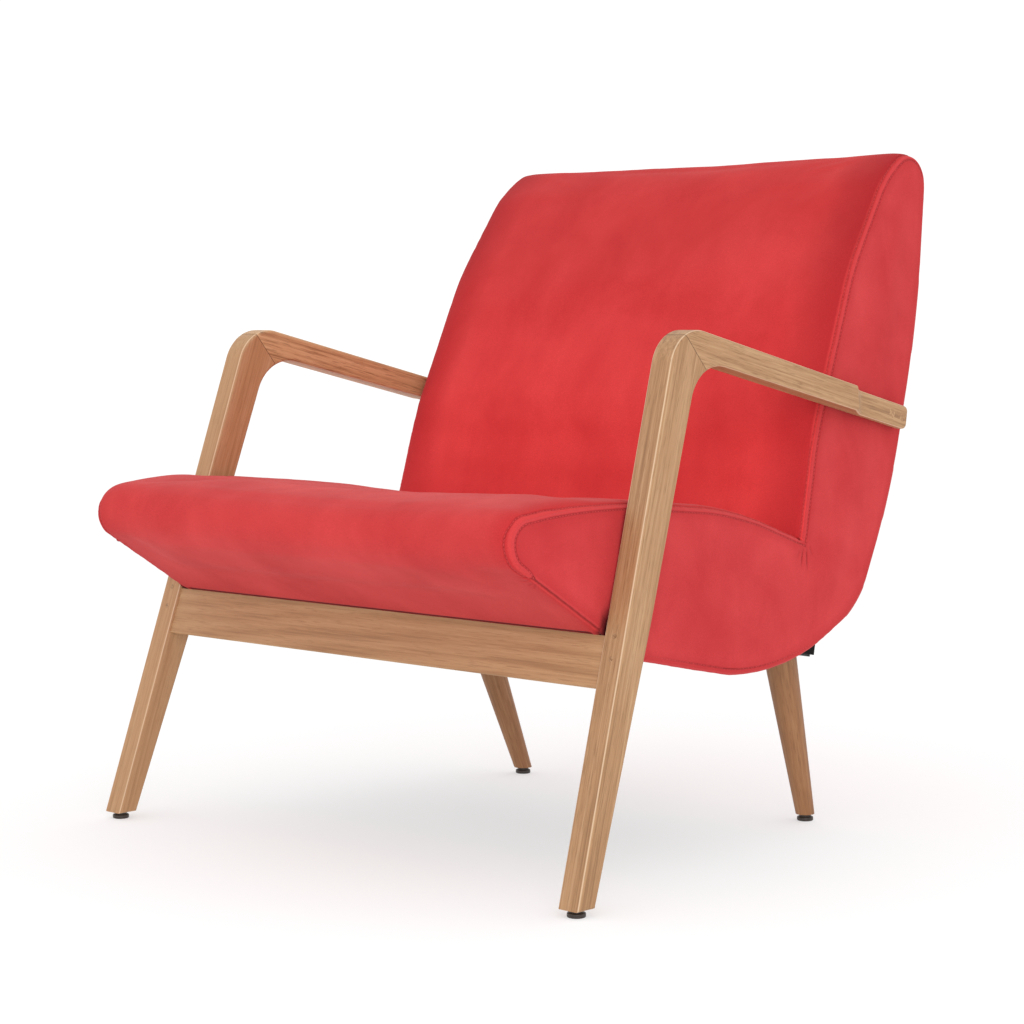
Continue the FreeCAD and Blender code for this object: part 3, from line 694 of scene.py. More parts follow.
def refine(piece: Object, marks: Sequence[Vector], radius: float) -> None:
    """Divides the faces of a piece near some points, where its wrinkles need them.

    Args:
        piece: The piece.
        marks: The points.
        radius: How far from them.
    """
    form = bmesh.new()
    form.from_mesh(piece.data)
    tree = finder(marks)
    close = {vert for vert in form.verts if tree.find(vert.co)[2] < radius}
    near = [edge for edge in form.edges if close.issuperset(edge.verts)]
    bmesh.ops.subdivide_edges(form, edges=near, cuts=2, use_grid_fill=True)
    form.to_mesh(piece.data)
    form.free()
    piece.data.shade_smooth()


def between(first: Vector, last: Vector, strides: int = 16) -> list[Vector]:
    """Evenly spaced points on a straight line, with its two ends.

    Args:
        first: Its start.
        last: Its end.
        strides: Number of spaces.

    Returns:
        The points.
    """
    return [first.lerp(last, step / strides) for step in range(strides + 1)]


def evenly(line: Sequence[Vector], pitch: float) -> Iterable[tuple[Vector, Vector]]:
    """Walks along a line.

    Args:
        line: Its points.
        pitch: Length of one stride.

    Yields:
        Each place, with the direction of the line there.
    """
    wait = pitch / 2
    for first, second in zip(line, line[1:]):
        run = (second - first).length
        way = (second - first).normalized()
        while wait < run:
            yield first + way * wait, way
            wait += pitch
        wait -= run


@dataclass(frozen=True)
class RimPoint:
    """One point of a section's line in the side view, with its outward direction."""

    y: float
    z: float
    out_y: float
    out_z: float
    skin: bool
    slack: float
    roll: float
    puff: float
    dish: float


@dataclass
class Section:
    """Closed side-view line of one piece: corners as Y, Z and rounding, the outer skin first.

    Each side of the skin has its share of the roll at the side seams, its puff beside them and its dish
    between them.
    """

    corners: Sequence[Point]
    rolls: Sequence[float] = ()
    puffs: Sequence[float] = ()
    dishes: Sequence[float] = ()
    first_slack: Pair = (0.012, 0.070)
    last_slack: Pair = (0.012, 0.070)
    step: float = 0.007
    weld: float = 0.0005
    sharp_turn: float = math.radians(75)
    arc_step: float = 0.7
    arc_segments: tuple[int, int] = (4, 24)
    easing: int = 12

    def start(self) -> tuple[BMesh, list[BMVert]]:
        """Draws the line as one face: a polygon with its corners rounded and its long sides divided.

        Returns:
            The bmesh, and the line's vertices in order.
        """
        form = bmesh.new()
        for name in ("freedom", "gap"):
            form.verts.layers.float.new(name)
        verts = [form.verts.new((0.0, y, z)) for y, z, _ in self.corners]
        form.faces.new(verts)
        places = [vert.co.copy() for vert in verts]
        for index, (vert, corner) in enumerate(zip(verts, self.corners)):
            if not corner[2]:
                continue
            back = (places[index - 1] - places[index]).normalized()
            ahead = (places[(index + 1) % len(places)] - places[index]).normalized()
            self.round_off(form, vert, corner[2], math.pi - back.angle(ahead))
        bmesh.ops.remove_doubles(form, verts=form.verts, dist=self.weld)
        for edge in list(form.edges):
            cuts = round(edge.calc_length() / self.step) - 1
            if cuts > 0:
                bmesh.ops.subdivide_edges(form, edges=[edge], cuts=cuts)
        form.faces.ensure_lookup_table()
        return form, [loop.vert for loop in form.faces[0].loops]

    def round_off(self, form: BMesh, vert: BMVert, radius: float, turn: float) -> None:
        """Rounds one corner; a sharp one is cut straight first, so that its arc stays round.

        Args:
            form: The bmesh.
            vert: The corner.
            radius: Its rounding.
            turn: How far the line turns there.
        """
        if turn > self.sharp_turn:
            reach = radius * (math.tan(turn / 2) - math.tan(turn / 4))
            cut = bmesh.ops.bevel(form, geom=[vert], offset=reach, offset_type="OFFSET", segments=1,
                                  profile=0.5, affect="VERTICES", clamp_overlap=False, material=-1)
            for end in cut["verts"]:
                self.round_off(form, end, radius, turn / 2)
            return
        least, most = self.arc_segments
        segments = min(most, max(least, round(radius * turn / (self.step * self.arc_step))))
        bmesh.ops.bevel(form, geom=[vert], offset=radius * math.tan(turn / 2), offset_type="OFFSET",
                        segments=segments, profile=0.5, affect="VERTICES", clamp_overlap=False, material=-1)

    def rim(self, verts: Sequence[BMVert]) -> list[RimPoint]:
        """Describes the line's points.

        Args:
            verts: The line's vertices in order.

        Returns:
            One point for each vertex.
        """
        places = [(vert.co.y, vert.co.z) for vert in verts]
        closed = list(zip(places, places[1:] + places[:1]))
        turn = math.copysign(1.0, sum(a[0] * b[1] - b[0] * a[1] for a, b in closed))
        sides = [self.side_of(place) for place in places]
        skins = [side < len(self.rolls) for side in sides]
        shares = list(zip(*[self.eased(sides, values) for values in (self.rolls, self.puffs, self.dishes)]))
        runs = np.cumsum([0.0] + [math.dist(a, b) for a, b in closed[:-1]])
        reach = max((run for run, skin in zip(runs, skins) if skin), default=0.0)
        found: list[RimPoint] = []
        for index, place in enumerate(places):
            before = places[index - 1]
            after = places[(index + 1) % len(places)]
            run = Vector((after[0] - before[0], after[1] - before[1])).normalized()
            slack = ease_in(runs[index], *self.first_slack) * ease_in(reach - runs[index], *self.last_slack)
            found.append(RimPoint(*place, run.y * turn, -run.x * turn, skins[index], slack, *shares[index]))
        return found

    def eased(self, sides: Sequence[int], values: Sequence[float]) -> list[float]:
        """Spreads one value for each side of the skin over the line's points, with easy changes.

        Args:
            sides: Side of each point.
            values: Value of each side of the skin.

        Returns:
            The value of each point.
        """
        found = np.array([values[side] if side < len(values) else np.nan for side in sides])
        gaps = np.isnan(found)
        for _ in range(self.easing):
            near = np.stack([np.roll(found, 1), found, found, np.roll(found, -1)])
            found = np.where(gaps, np.nan, np.nanmean(np.where(gaps, 0.0, near), axis=0))
        return np.nan_to_num(found).tolist()

    def side_of(self, place: Pair) -> int:
        """Index of the side that a point lies nearest to.

        Args:
            place: Y and Z of the point.

        Returns:
            The index of the corner where that side begins.
        """
        return min(range(len(self.corners)), key=lambda index: self.gap(index, Vector(place)))

    def gap(self, index: int, place: Vector) -> float:
        """Distance of a point from one side.

        Args:
            index: Index of the corner where the side begins.
            place: Y and Z of the point.

        Returns:
            The distance.
        """
        first = Vector(self.corners[index][:2])
        side = Vector(self.corners[(index + 1) % len(self.corners)][:2]) - first
        along = (place - first).dot(side) / side.length_squared
        return (first + side * min(1.0, max(0.0, along)) - place).length


@dataclass
class ShellOutline:
    """Side view of the shell: corners in order from the crotch, as Y, Z and rounding."""

    corners: dict[str, Point] = field(default_factory=lambda: {
        "crotch": (0.1027, 0.3265, 0.0),
        "seat_bend": (-0.0055, 0.3633, 0.430),
        "seat_front": (-0.2253, 0.3826, 0.680),
        "nose": (-0.3889, 0.3624, 0.026),
        "keel_front": (-0.1679, 0.2252, 0.014),
        "keel": (0.0488, 0.1815, 0.275),
        "heel": (0.1980, 0.2480, 0.100),
        "spine": (0.2625, 0.3656, 0.620),
        "shoulder": (0.3235, 0.5549, 0.900),
        "crest_rear": (0.3537, 0.7633, 0.030),
        "crest": (0.2721, 0.7145, 0.120),
        "back_bend": (0.2035, 0.6116, 0.250),
        "lumbar": (0.1297, 0.4345, 0.300),
    })
    under_sides: tuple[str, ...] = ("keel_front", "keel", "heel", "spine", "shoulder")
    stride: float = 0.0015
    least_round: float = 0.001

    def named(self, *names: str) -> list[Point]:
        """Corners by name, with their roundings.

        Args:
            names: The names.

        Returns:
            The corners.
        """
        return [self.corners[name] for name in names]

    def moved(self, upper: float, under: float) -> list[Point]:
        """Every corner of the outline, with its sides moved outwards.

        Args:
            upper: How far the seat's, front's, top's and back's sides move.
            under: How far the bottom's and rear's sides move.

        Returns:
            The corners, with their roundings.
        """
        places = [Vector(corner[:2]) for corner in self.corners.values()]
        names = list(self.corners)
        shifts = [under if name in self.under_sides else upper for name in names]
        found: list[Point] = []
        for index, name in enumerate(names):
            into = (places[index] - places[index - 1]).normalized()
            onward = (places[(index + 1) % len(places)] - places[index]).normalized()
            ways = Matrix(((into.y, -into.x), (onward.y, -onward.x)))
            shift = ways.inverted() @ Vector((shifts[index - 1], shifts[index]))
            radius = self.corners[name][2]
            grown = shifts[index] if into.cross(onward) > 0 else -shifts[index]
            found.append((*(places[index] + shift), max(self.least_round, radius + grown) if radius else 0.0))
        return found

    def path(self, upper: float, under: float, first: Pair, last: Pair) -> list[Pair]:
        """Part of the rounded outline, with its sides moved outwards.

        Args:
            upper: How far the upper sides move.
            under: How far the under sides move.
            first: Y and Z near the part's start.
            last: Y and Z near its end.

        Returns:
            Points in order.
        """
        form, line = Section(self.moved(upper, under), step=self.stride).start()
        points = [(vert.co.y, vert.co.z) for vert in line]
        form.free()
        order = range(len(points))
        start = min(order, key=lambda index: math.dist(points[index], first))
        stop = min(order, key=lambda index: math.dist(points[index], last))
        return points[start:stop] if start < stop else points[start:] + points[:stop]


@dataclass
class SeamEdge:
    """Rounded edge where the covers and a side panel are sewn together, in section."""

    lean: float = 0.049
    seam_x: float = 0.3228
    flare: float = 0.004
    flare_run: Pair = (0.05, 0.25)
    flare_top: float = 0.47
    flare_fade: float = 0.09
    cover_width: float = 0.007
    panel_height: float = 0.003
    drop: float = 0.0065
    under_drop: float = 0.0005
    crease: float = 0.0006
    crease_width: float = 0.0012

    def plane(self, y: float, z: float) -> float:
        """How far the seam lies from the chair's middle at a point of the side view.

        Args:
            y: Y of the point.
            z: Z of the point.

        Returns:
            The distance, a little more at the seat's front.
        """
        share = ease_in(-y, *self.flare_run) * ease_in(self.flare_top - z, 0.0, self.flare_fade)
        return self.seam_x - self.lean * z + self.flare * share

    @property
    def seam_drop(self) -> float:
        """How far the seam lies inside the shell's outline."""
        return self.cover_drop(0.0)

    def cover_drop(self, distance: float) -> float:
        """How far the cover is drawn in at a distance from the seam.

        Args:
            distance: Distance from the seam, in towards the chair's middle.

        Returns:
            The drop under the outline.
        """
        if distance >= self.cover_width:
            return 0.0
        across = (self.cover_width - distance) / (self.cover_width + self.panel_height)
        return self.drop * (1.0 - math.sqrt(1.0 - across * across))

    def panel_rise(self, inset: float) -> float:
        """How far the panel stands out of the seam's plane at a distance from its edge.

        Args:
            inset: Distance from the panel's edge.

        Returns:
            The height.
        """
        below = min(self.drop, self.seam_drop + inset)
        share = (self.drop - below) / self.drop
        reach = self.cover_width + self.panel_height
        return reach * math.sqrt(1.0 - share * share) - self.cover_width

    def dip(self, distance: float) -> float:
        """Depth of the crease at the seam.

        Args:
            distance: Distance from the seam.

        Returns:
            The depth.
        """
        return self.crease * max(0.0, 1.0 - distance / self.crease_width)


@dataclass
class Swelling:
    """Cloth simulation that blows a piece up over its filling and keeps each point near its start."""

    cap: float = 0.0030
    pressure: float = 4.0
    frames: int = 20
    quality: int = 5
    mass: float = 0.3
    stiffness: float = 12.0
    bending: float = 0.6

    def run(self, piece: Object) -> None:
        """Swells a piece as far as each vertex is free to move.

        Args:
            piece: The piece.
        """
        start, normals = points_of(piece.data)
        freedom = values_of(piece.data, "freedom")
        held = piece.vertex_groups.new(name="held")
        for index, free in enumerate(freedom):
            held.add([index], 1.0 - float(free), "REPLACE")
        cloth = piece.modifiers.new("swell", "CLOTH")
        settings = cloth.settings
        settings.quality = self.quality
        settings.mass = self.mass
        settings.tension_stiffness = self.stiffness
        settings.compression_stiffness = self.stiffness
        settings.bending_stiffness = self.bending
        settings.use_pressure = True
        settings.uniform_pressure_force = self.pressure
        settings.effector_weights.gravity = 0.0
        settings.vertex_group_mass = held.name
        cloth.collision_settings.use_collision = False
        scene = bpy.context.scene
        for step in range(1, self.frames + 1):
            scene.frame_set(step)
        bake_modifiers(piece)
        scene.frame_set(1)
        ends, _ = points_of(piece.data)
        rise = np.clip(np.sum((ends - start) * normals, axis=1), 0.0, self.cap * freedom)
        put_points(piece.data, start + normals * rise[:, None])
        piece.vertex_groups.clear()


@dataclass
class Spanned:
    """Soft piece that spans the chair from one side seam to the other."""

    name: str
    section: Section
    edge: SeamEdge
    overlap: float = 0.001
    near_seam: tuple[float, ...] = (0.0, 0.0007, 0.0016, 0.0028, 0.0040, 0.0052, 0.0066, 0.0085, 0.011,
                                    0.015, 0.021)
    middle_step: float = 0.008
    half_width: float = 0.305
    puff_width: float = 0.010
    free_from: float = 0.006
    free_to: float = 0.080
    most_corners: int = 4

    def shares(self) -> list[float]:
        """Spaces the stations across the chair, closer together beside the seams.

        Returns:
            Their places, from -1 at one seam to 1 at the other.
        """
        last = self.near_seam[-1]
        count = round((self.half_width - last) / self.middle_step)
        gaps = list(self.near_seam) + [last + (self.half_width - last) * k / count for k in range(1, count)]
        ends = [1.0 - gap / self.half_width for gap in gaps]
        outer = 1.0 + self.overlap / self.half_width
        return [-outer] + [-share for share in ends] + [0.0] + ends[::-1] + [outer]

    def build(self) -> Object:
        """Spans the section across the chair, station by station.

        Returns:
            The piece.
        """
        form, line = self.section.start()
        rim = self.section.rim(line)
        layers = form.verts.layers.float
        stations = self.shares()
        self.place(line, rim, stations[0], layers)
        for share in stations[1:]:
            edges = [form.edges.get((a, b)) for a, b in zip(line, line[1:] + line[:1])]
            grown = bmesh.ops.extrude_edge_only(form, edges=edges)["geom"]
            fresh = {item for item in grown if isinstance(item, BMVert)}
            line = [next(edge.other_vert(vert) for edge in vert.link_edges if edge.other_vert(vert) in fresh)
                    for vert in line]
            self.place(line, rim, share, layers)
        edges = [form.edges.get((a, b)) for a, b in zip(line, line[1:] + line[:1])]
        bmesh.ops.contextual_create(form, geom=edges)
        large = [face for face in form.faces if len(face.verts) > self.most_corners]
        bmesh.ops.triangulate(form, faces=large)
        bmesh.ops.recalc_face_normals(form, faces=form.faces)
        return to_piece(self.name, form)

    def place(self, line: Sequence[BMVert], rim: Sequence[RimPoint], share: float,
              layers: BMLayerCollection) -> None:
        """Puts one station's vertices in their places.

        Args:
            line: The station's vertices.
            rim: The section's points.
            share: Place of the station across the chair.
            layers: Layers that take the vertices' freedom and their distance from the seam.
        """
        for vert, point in zip(line, rim):
            half = self.edge.plane(point.y, point.z)
            distance = half * (1.0 - abs(share))
            drop = point.roll * self.edge.cover_drop(max(distance, -self.overlap))
            drop += self.edge.dip(abs(distance))
            puff = point.puff * (1.0 - math.exp(-max(0.0, distance) / self.puff_width))
            offset = puff - point.dish * (1.0 - share * share) - drop if point.skin else 0.0
            vert.co = (share * half, point.y + point.out_y * offset, point.z + point.out_z * offset)
            free = ease_in(distance, self.free_from, self.free_to)
            vert[layers["freedom"]] = point.skin * point.slack * free
            vert[layers["gap"]] = max(0.0, distance)


@dataclass
class SidePanel:
    """Padded cover of one side of the shell, with rings of faces along its sewn edge."""

    side: Side
    outline: ShellOutline
    edge: SeamEdge
    rings: tuple[float, ...] = (0.0007, 0.0016, 0.0028, 0.0042, 0.0056, 0.0068, 0.0080, 0.0095, 0.0115)
    grid: float = 0.008
    depth: float = 0.0005
    free_from: float = 0.008
    free_to: float = 0.060
    arm_clear: Pair = (0.004, 0.030)
    most_corners: int = 8

    @property
    def name(self) -> str:
        """Name of the piece."""
        return f"side_panel_{self.side.word}"

    def build(self, arm: Object) -> Object:
        """Draws the panel flat, rings its edge, divides its middle and sets it up on the chair's side.

        Args:
            arm: The armrest that presses on it.

        Returns:
            The piece.
        """
        form, line = Section(self.outline.moved(-self.edge.seam_drop, -self.edge.under_drop)).start()
        border = finder([vert.co for vert in line])
        inner = form.faces[0]
        for vert in line:
            vert.co.x = -self.edge.dip(0.0)
        done = 0.0
        for inset in self.rings:
            bmesh.ops.inset_region(form, faces=[inner], thickness=inset - done, depth=0.0,
                                   use_even_offset=True, use_boundary=True)
            done = inset
            for vert in inner.verts:
                vert.co.x = self.edge.panel_rise(inset) - self.edge.dip(inset)
        self.divide(form, inner)
        rim = [edge for edge in form.edges if edge.is_boundary]
        grown = bmesh.ops.extrude_edge_only(form, edges=rim)["geom"]
        for item in grown:
            if isinstance(item, BMVert):
                item.co.x = -self.depth - self.edge.dip(0.0)
        bmesh.ops.contextual_create(form, geom=[item for item in grown if isinstance(item, BMEdge)])
        large = [face for face in form.faces if len(face.verts) > self.most_corners]
        bmesh.ops.triangulate(form, faces=large)
        arm_tree = tree_of([arm.data])
        layers = form.verts.layers.float
        for vert in form.verts:
            height = vert.co.x
            gap = border.find(Vector((0.0, vert.co.y, vert.co.z)))[2]
            vert.co.x = self.side.value * (self.edge.plane(vert.co.y, vert.co.z) + height)
            vert[layers["gap"]] = gap
            if height > 0:
                clear = arm_tree.find_nearest(vert.co)[3]
                free = ease_in(gap, self.free_from, self.free_to)
                vert[layers["freedom"]] = free * ease_in(clear, *self.arm_clear)
        bmesh.ops.recalc_face_normals(form, faces=form.faces)
        return to_piece(self.name, form)

    def divide(self, form: BMesh, inner: BMFace) -> None:
        """Cuts the panel's middle into a grid.

        Args:
            form: The panel.
            inner: Its middle face.
        """
        inside = {inner}
        ys = [vert.co.y for vert in inner.verts]
        zs = [vert.co.z for vert in inner.verts]
        for low, high, way in ((min(ys), max(ys), Vector((0, 1, 0))), (min(zs), max(zs), Vector((0, 0, 1)))):
            for count in range(1, int((high - low) / self.grid) + 1):
                at = way * (low + count * self.grid)
                near = {face for face in inside if self.crosses(face, at, way)}
                edges = {edge for face in near for edge in face.edges}
                verts = {vert for face in near for vert in face.verts}
                cut = bmesh.ops.bisect_plane(form, geom=list(near | edges | verts), dist=WELD, plane_co=at,
                                             plane_no=way)["geom"]
                inside |= {item for item in cut if isinstance(item, BMFace)}

    def crosses(self, face: BMFace, at: Vector, way: Vector) -> bool:
        """Tells whether a plane runs through a face.

        Args:
            face: The face.
            at: A point of the plane.
            way: Its normal.

        Returns:
            True where the face has corners on both sides.
        """
        places = [vert.co.dot(way) for vert in face.verts]
        return min(places) < at.dot(way) < max(places)


@dataclass
class Studio:
    """Camera, pale floor and soft light."""

    eye: Point = (1.88994, -1.98266, 0.54317)
    dip: float = 4.1404
    heading: float = 43.798
    lens: float = 88.18
    sensor: float = 36.0
    floor_side: float = 40.0
    floor_grey: float = 0.52
    sky: float = 1.08
    key_power: float = 20.0
    key_place: Point = (2.2, -2.0, 1.0)
    key_side: float = 1.4
    key_aim: Point = (0.0, 0.0, 0.35)
    floor_glow: float = 0.48

    def build(self) -> None:
        """Makes the camera, the floor and the lights."""
        self.aim_camera()
        self.lay_floor()
        self.light()

    def aim_camera(self) -> None:
        """Makes the camera."""
        scene = bpy.context.scene
        camera = bpy.data.objects.new("camera", bpy.data.cameras.new("camera"))
        camera.data.lens = self.lens
        camera.data.sensor_width = self.sensor
        camera.location = self.eye
        camera.rotation_euler = (math.radians(90.0 - self.dip), 0.0, math.radians(self.heading))
        scene.collection.objects.link(camera)
        scene.camera = camera
        scene.view_settings.view_transform = "Standard"

    def lay_floor(self) -> None:
        """Makes the floor, which glows a little and so stays pale."""
        form = bmesh.new()
        bmesh.ops.create_grid(form, x_segments=2, y_segments=2, size=self.floor_side / 2)
        floor = to_piece("studio_floor", form)
        paper = FinishNodes("pale_floor")
        paper.paint(Base_Color=(*[self.floor_grey] * 3, 1.0), Roughness=0.9, Specular_IOR_Level=0.0,
                    Emission_Color=WHITE, Emission_Strength=self.floor_glow)
        floor.data.materials.append(paper.material)

    def light(self) -> None:
        """Lights the room evenly, with one broad lamp beside the camera."""
        scene = bpy.context.scene
        world = bpy.data.worlds.new("soft_room")
        world.use_nodes = True
        glow = world.node_tree.nodes["Background"].inputs
        glow["Color"].default_value = WHITE
        glow["Strength"].default_value = self.sky
        scene.world = world
        key = bpy.data.lights.new("key", "AREA")
        key.energy = self.key_power
        key.size = self.key_side
        lamp = bpy.data.objects.new("key", key)
        lamp.location = self.key_place
        lamp.rotation_euler = (Vector(self.key_aim) - lamp.location).to_track_quat("-Z", "Y").to_euler()
        scene.collection.objects.link(lamp)


@dataclass
class WoodFrame:
    """Legs, armrests, front rail and what fastens them: solids of the frame, dressed."""

    arm_way: Point = (0.0, 0.97498, -0.22230)
    leg_way: Point = (0.0, 0.30001, 0.95394)
    rear_way: Point = (0.07137, -0.33619, 0.93909)
    leg_lean: float = 0.0467
    mitre_corner: Pair = (-0.125194, 0.5516)
    mitre_way: Point = (0.0, 0.76225, 0.64728)
    glue_width: float = 0.0006
    glue_proud: float = 0.00008

    def dress(self, frame: dict) -> None:
        """Gives every wooden, metal and plastic solid its finish.

        Args:
            frame: The loaded frame.
        """
        glue = Mottled("glue_line", (0.10, 0.050, 0.022), (0.15, 0.080, 0.036), (0.003, 0.003, 0.003),
                       (0.6, 0.8)).material()
        for side in Side:
            self.mitre_line(frame, side, glue)
            self.dress_side(frame, side)
        self.finish(frame, ["front_rail"],
                    Oak("oak_rail", (1.0, 0.0, 0.0), (0.22, -0.20, 0.17), Figure.FLAMED,
                        dark=(0.31, 0.155, 0.066), body=(0.42, 0.225, 0.103), pale=(0.50, 0.29, 0.145),
                        arris=0.0))
        self.finish(frame, ["arm_plugs"], Oak("oak_plug", (1.0, 0.0, 0.0), body=(0.36, 0.19, 0.085)))
        self.finish(frame, ["rail_lock_pins"], Oak("oak_pin", (0.0, 1.0, 0.0), body=(0.24, 0.12, 0.05)))
        self.finish(frame, ["rail_dowels", "mitre_dowels"], Oak("beech_dowel", (1.0, 0.0, 0.0)))
        glides = [f"glide_{end}_{side.word}" for end in ("front", "rear") for side in Side]
        self.finish(frame, glides, Mottled("glide_plastic", (0.020, 0.013, 0.009), (0.045, 0.030, 0.022),
                                           (0.002, 0.002, 0.002), (0.35, 0.55)))
        blocks = [f"leg_block_{side.word}" for side in Side]
        self.finish(frame, blocks, Mottled("black_wood", (0.004, 0.004, 0.004), (0.010, 0.009, 0.008),
                                           (0.004, 0.03, 0.004), (0.75, 0.90), specular=0.15))
        steel = ["arm_screws", "front_rail_screws", "block_screws", "plate_screws", "hanger_bolts",
                 "glide_nails"]
        self.finish(frame, steel, Mottled("zinc_steel", (0.45, 0.45, 0.44), (0.62, 0.61, 0.58),
                                          (0.003, 0.003, 0.003), (0.30, 0.45), metallic=1.0))
        self.finish(frame, ["leg_plates"], Mottled("dark_plate", (0.03, 0.03, 0.03), (0.06, 0.06, 0.06),
                                                   (0.003, 0.003, 0.003), (0.4, 0.55), metallic=1.0))
        inside = ["seat_front_crossrail", "seat_rear_crossrail", "back_lower_crossrail", "back_top_crossrail",
                  "corner_blocks", "back_panel", "side_board_left", "side_board_right"]
        self.finish(frame, inside, Mottled("frame_timber", (0.42, 0.29, 0.17), (0.60, 0.45, 0.28),
                                           (0.15, 0.004, 0.004), (0.6, 0.8)))

    def dress_side(self, frame: dict, side: Side) -> None:
        """Gives one side's legs and armrest their finishes.

        Args:
            frame: The loaded frame.
            side: The side.
        """
        sign = side.value
        lean = (-sign * self.leg_lean, self.leg_way[1], self.leg_way[2])
        near = side is Side.LEFT
        # Painted light: the far side's oak is paler than the near side's, so that its faces in shade read
        # lighter.
        self.finish(frame, [f"front_leg_{side.word}"],
                    Oak(f"oak_leg_{side.word}", lean, (0.1 * sign, 0.03, 0.0),
                        dark=(0.24, 0.120, 0.050) if near else (0.33, 0.170, 0.075),
                        body=(0.395, 0.212, 0.097) if near else (0.44, 0.235, 0.108),
                        pale=(0.50, 0.305, 0.162)))
        self.finish(frame, [f"armrest_{side.word}"],
                    Oak(f"oak_arm_{side.word}", self.arm_way, (0.3 * sign, 0.2, 0.41 * sign),
                        body=(0.395, 0.212, 0.097) if near else (0.54, 0.310, 0.150),
                        pale=(0.52, 0.320, 0.170) if near else (0.66, 0.420, 0.232)))
        # Painted shade: the rear legs' oak is darker, for the shade under the seat.
        rear = (sign * self.rear_way[0], self.rear_way[1], self.rear_way[2])
        self.finish(frame, [f"rear_leg_{side.word}"],
                    Oak(f"oak_rear_leg_{side.word}", rear, (0.0, 0.1 * sign, 0.2),
                        dark=(0.20, 0.086, 0.032), body=(0.30, 0.132, 0.052),
                        pale=(0.39, 0.198, 0.090), arris=0.0))

    def mitre_line(self, frame: dict, side: Side, glue: Material) -> None:
        """Thin dark line of glue where a leg and its armrest meet, cut from a copy of the leg.

        Args:
            frame: The loaded frame.
            side: The side.
            glue: Its finish.
        """
        form = copy_of(frame["nodes"][f"front_leg_{side.word}"])
        across = Vector(self.mitre_way)
        cut = Vector((0.0, *self.mitre_corner)) - across * self.glue_width
        geom = list(form.verts) + list(form.edges) + list(form.faces)
        bmesh.ops.bisect_plane(form, geom=geom, dist=WELD, plane_co=cut, plane_no=across, clear_inner=True)
        bmesh.ops.holes_fill(form, edges=[edge for edge in form.edges if edge.is_boundary])
        bmesh.ops.recalc_face_normals(form, faces=form.faces)
        form.normal_update()
        for vert in form.verts:
            vert.co += (vert.normal - across * vert.normal.dot(across)) * self.glue_proud
        piece = to_piece(f"mitre_line_{side.word}", form)
        piece.data.materials.append(glue)
        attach(piece, "root")
        log.info("made %s", piece.name)

    def finish(self, frame: dict, names: Sequence[str], finish: Oak | Mottled) -> None:
        """Puts one finish on some solids.

        Args:
            frame: The loaded frame.
            names: The solids.
            finish: Their finish.
        """
        material = finish.material()
        for name in names:
            for place in frame["nodes"][name].material_slots:
                place.material = material
            log.info("dressed %s in %s", name, finish.name)


@dataclass
class Stitching:
    """Rows of thread, one small bead for each stitch."""

    thread: Material
    pitch: float = 0.0042
    length: float = 0.0038
    width: float = 0.0008
    sink: float = 0.00005

    def sew(self, name: str, tree: BVHTree, line: Sequence[Vector]) -> None:
        """Sews one row along a line.

        Args:
            name: Name of the row.
            tree: The surface that it is sewn on.
            line: Points near that surface.
        """
        form = bmesh.new()
        size = Matrix.Diagonal((self.length, self.width, self.width, 1.0))
        for place, way in evenly(line, self.pitch):
            spot, normal, _, _ = tree.find_nearest(place)
            across = normal.cross(way).normalized()
            turn = Matrix((across.cross(normal), across, normal)).transposed().to_4x4()
            put = Matrix.Translation(spot - normal * self.sink) @ turn @ size
            bmesh.ops.create_icosphere(form, subdivisions=1, radius=0.5, matrix=put)
        piece = to_piece(name, form)
        piece.data.materials.append(self.thread)
        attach(piece, "root")
        log.info("sewed %s", name)


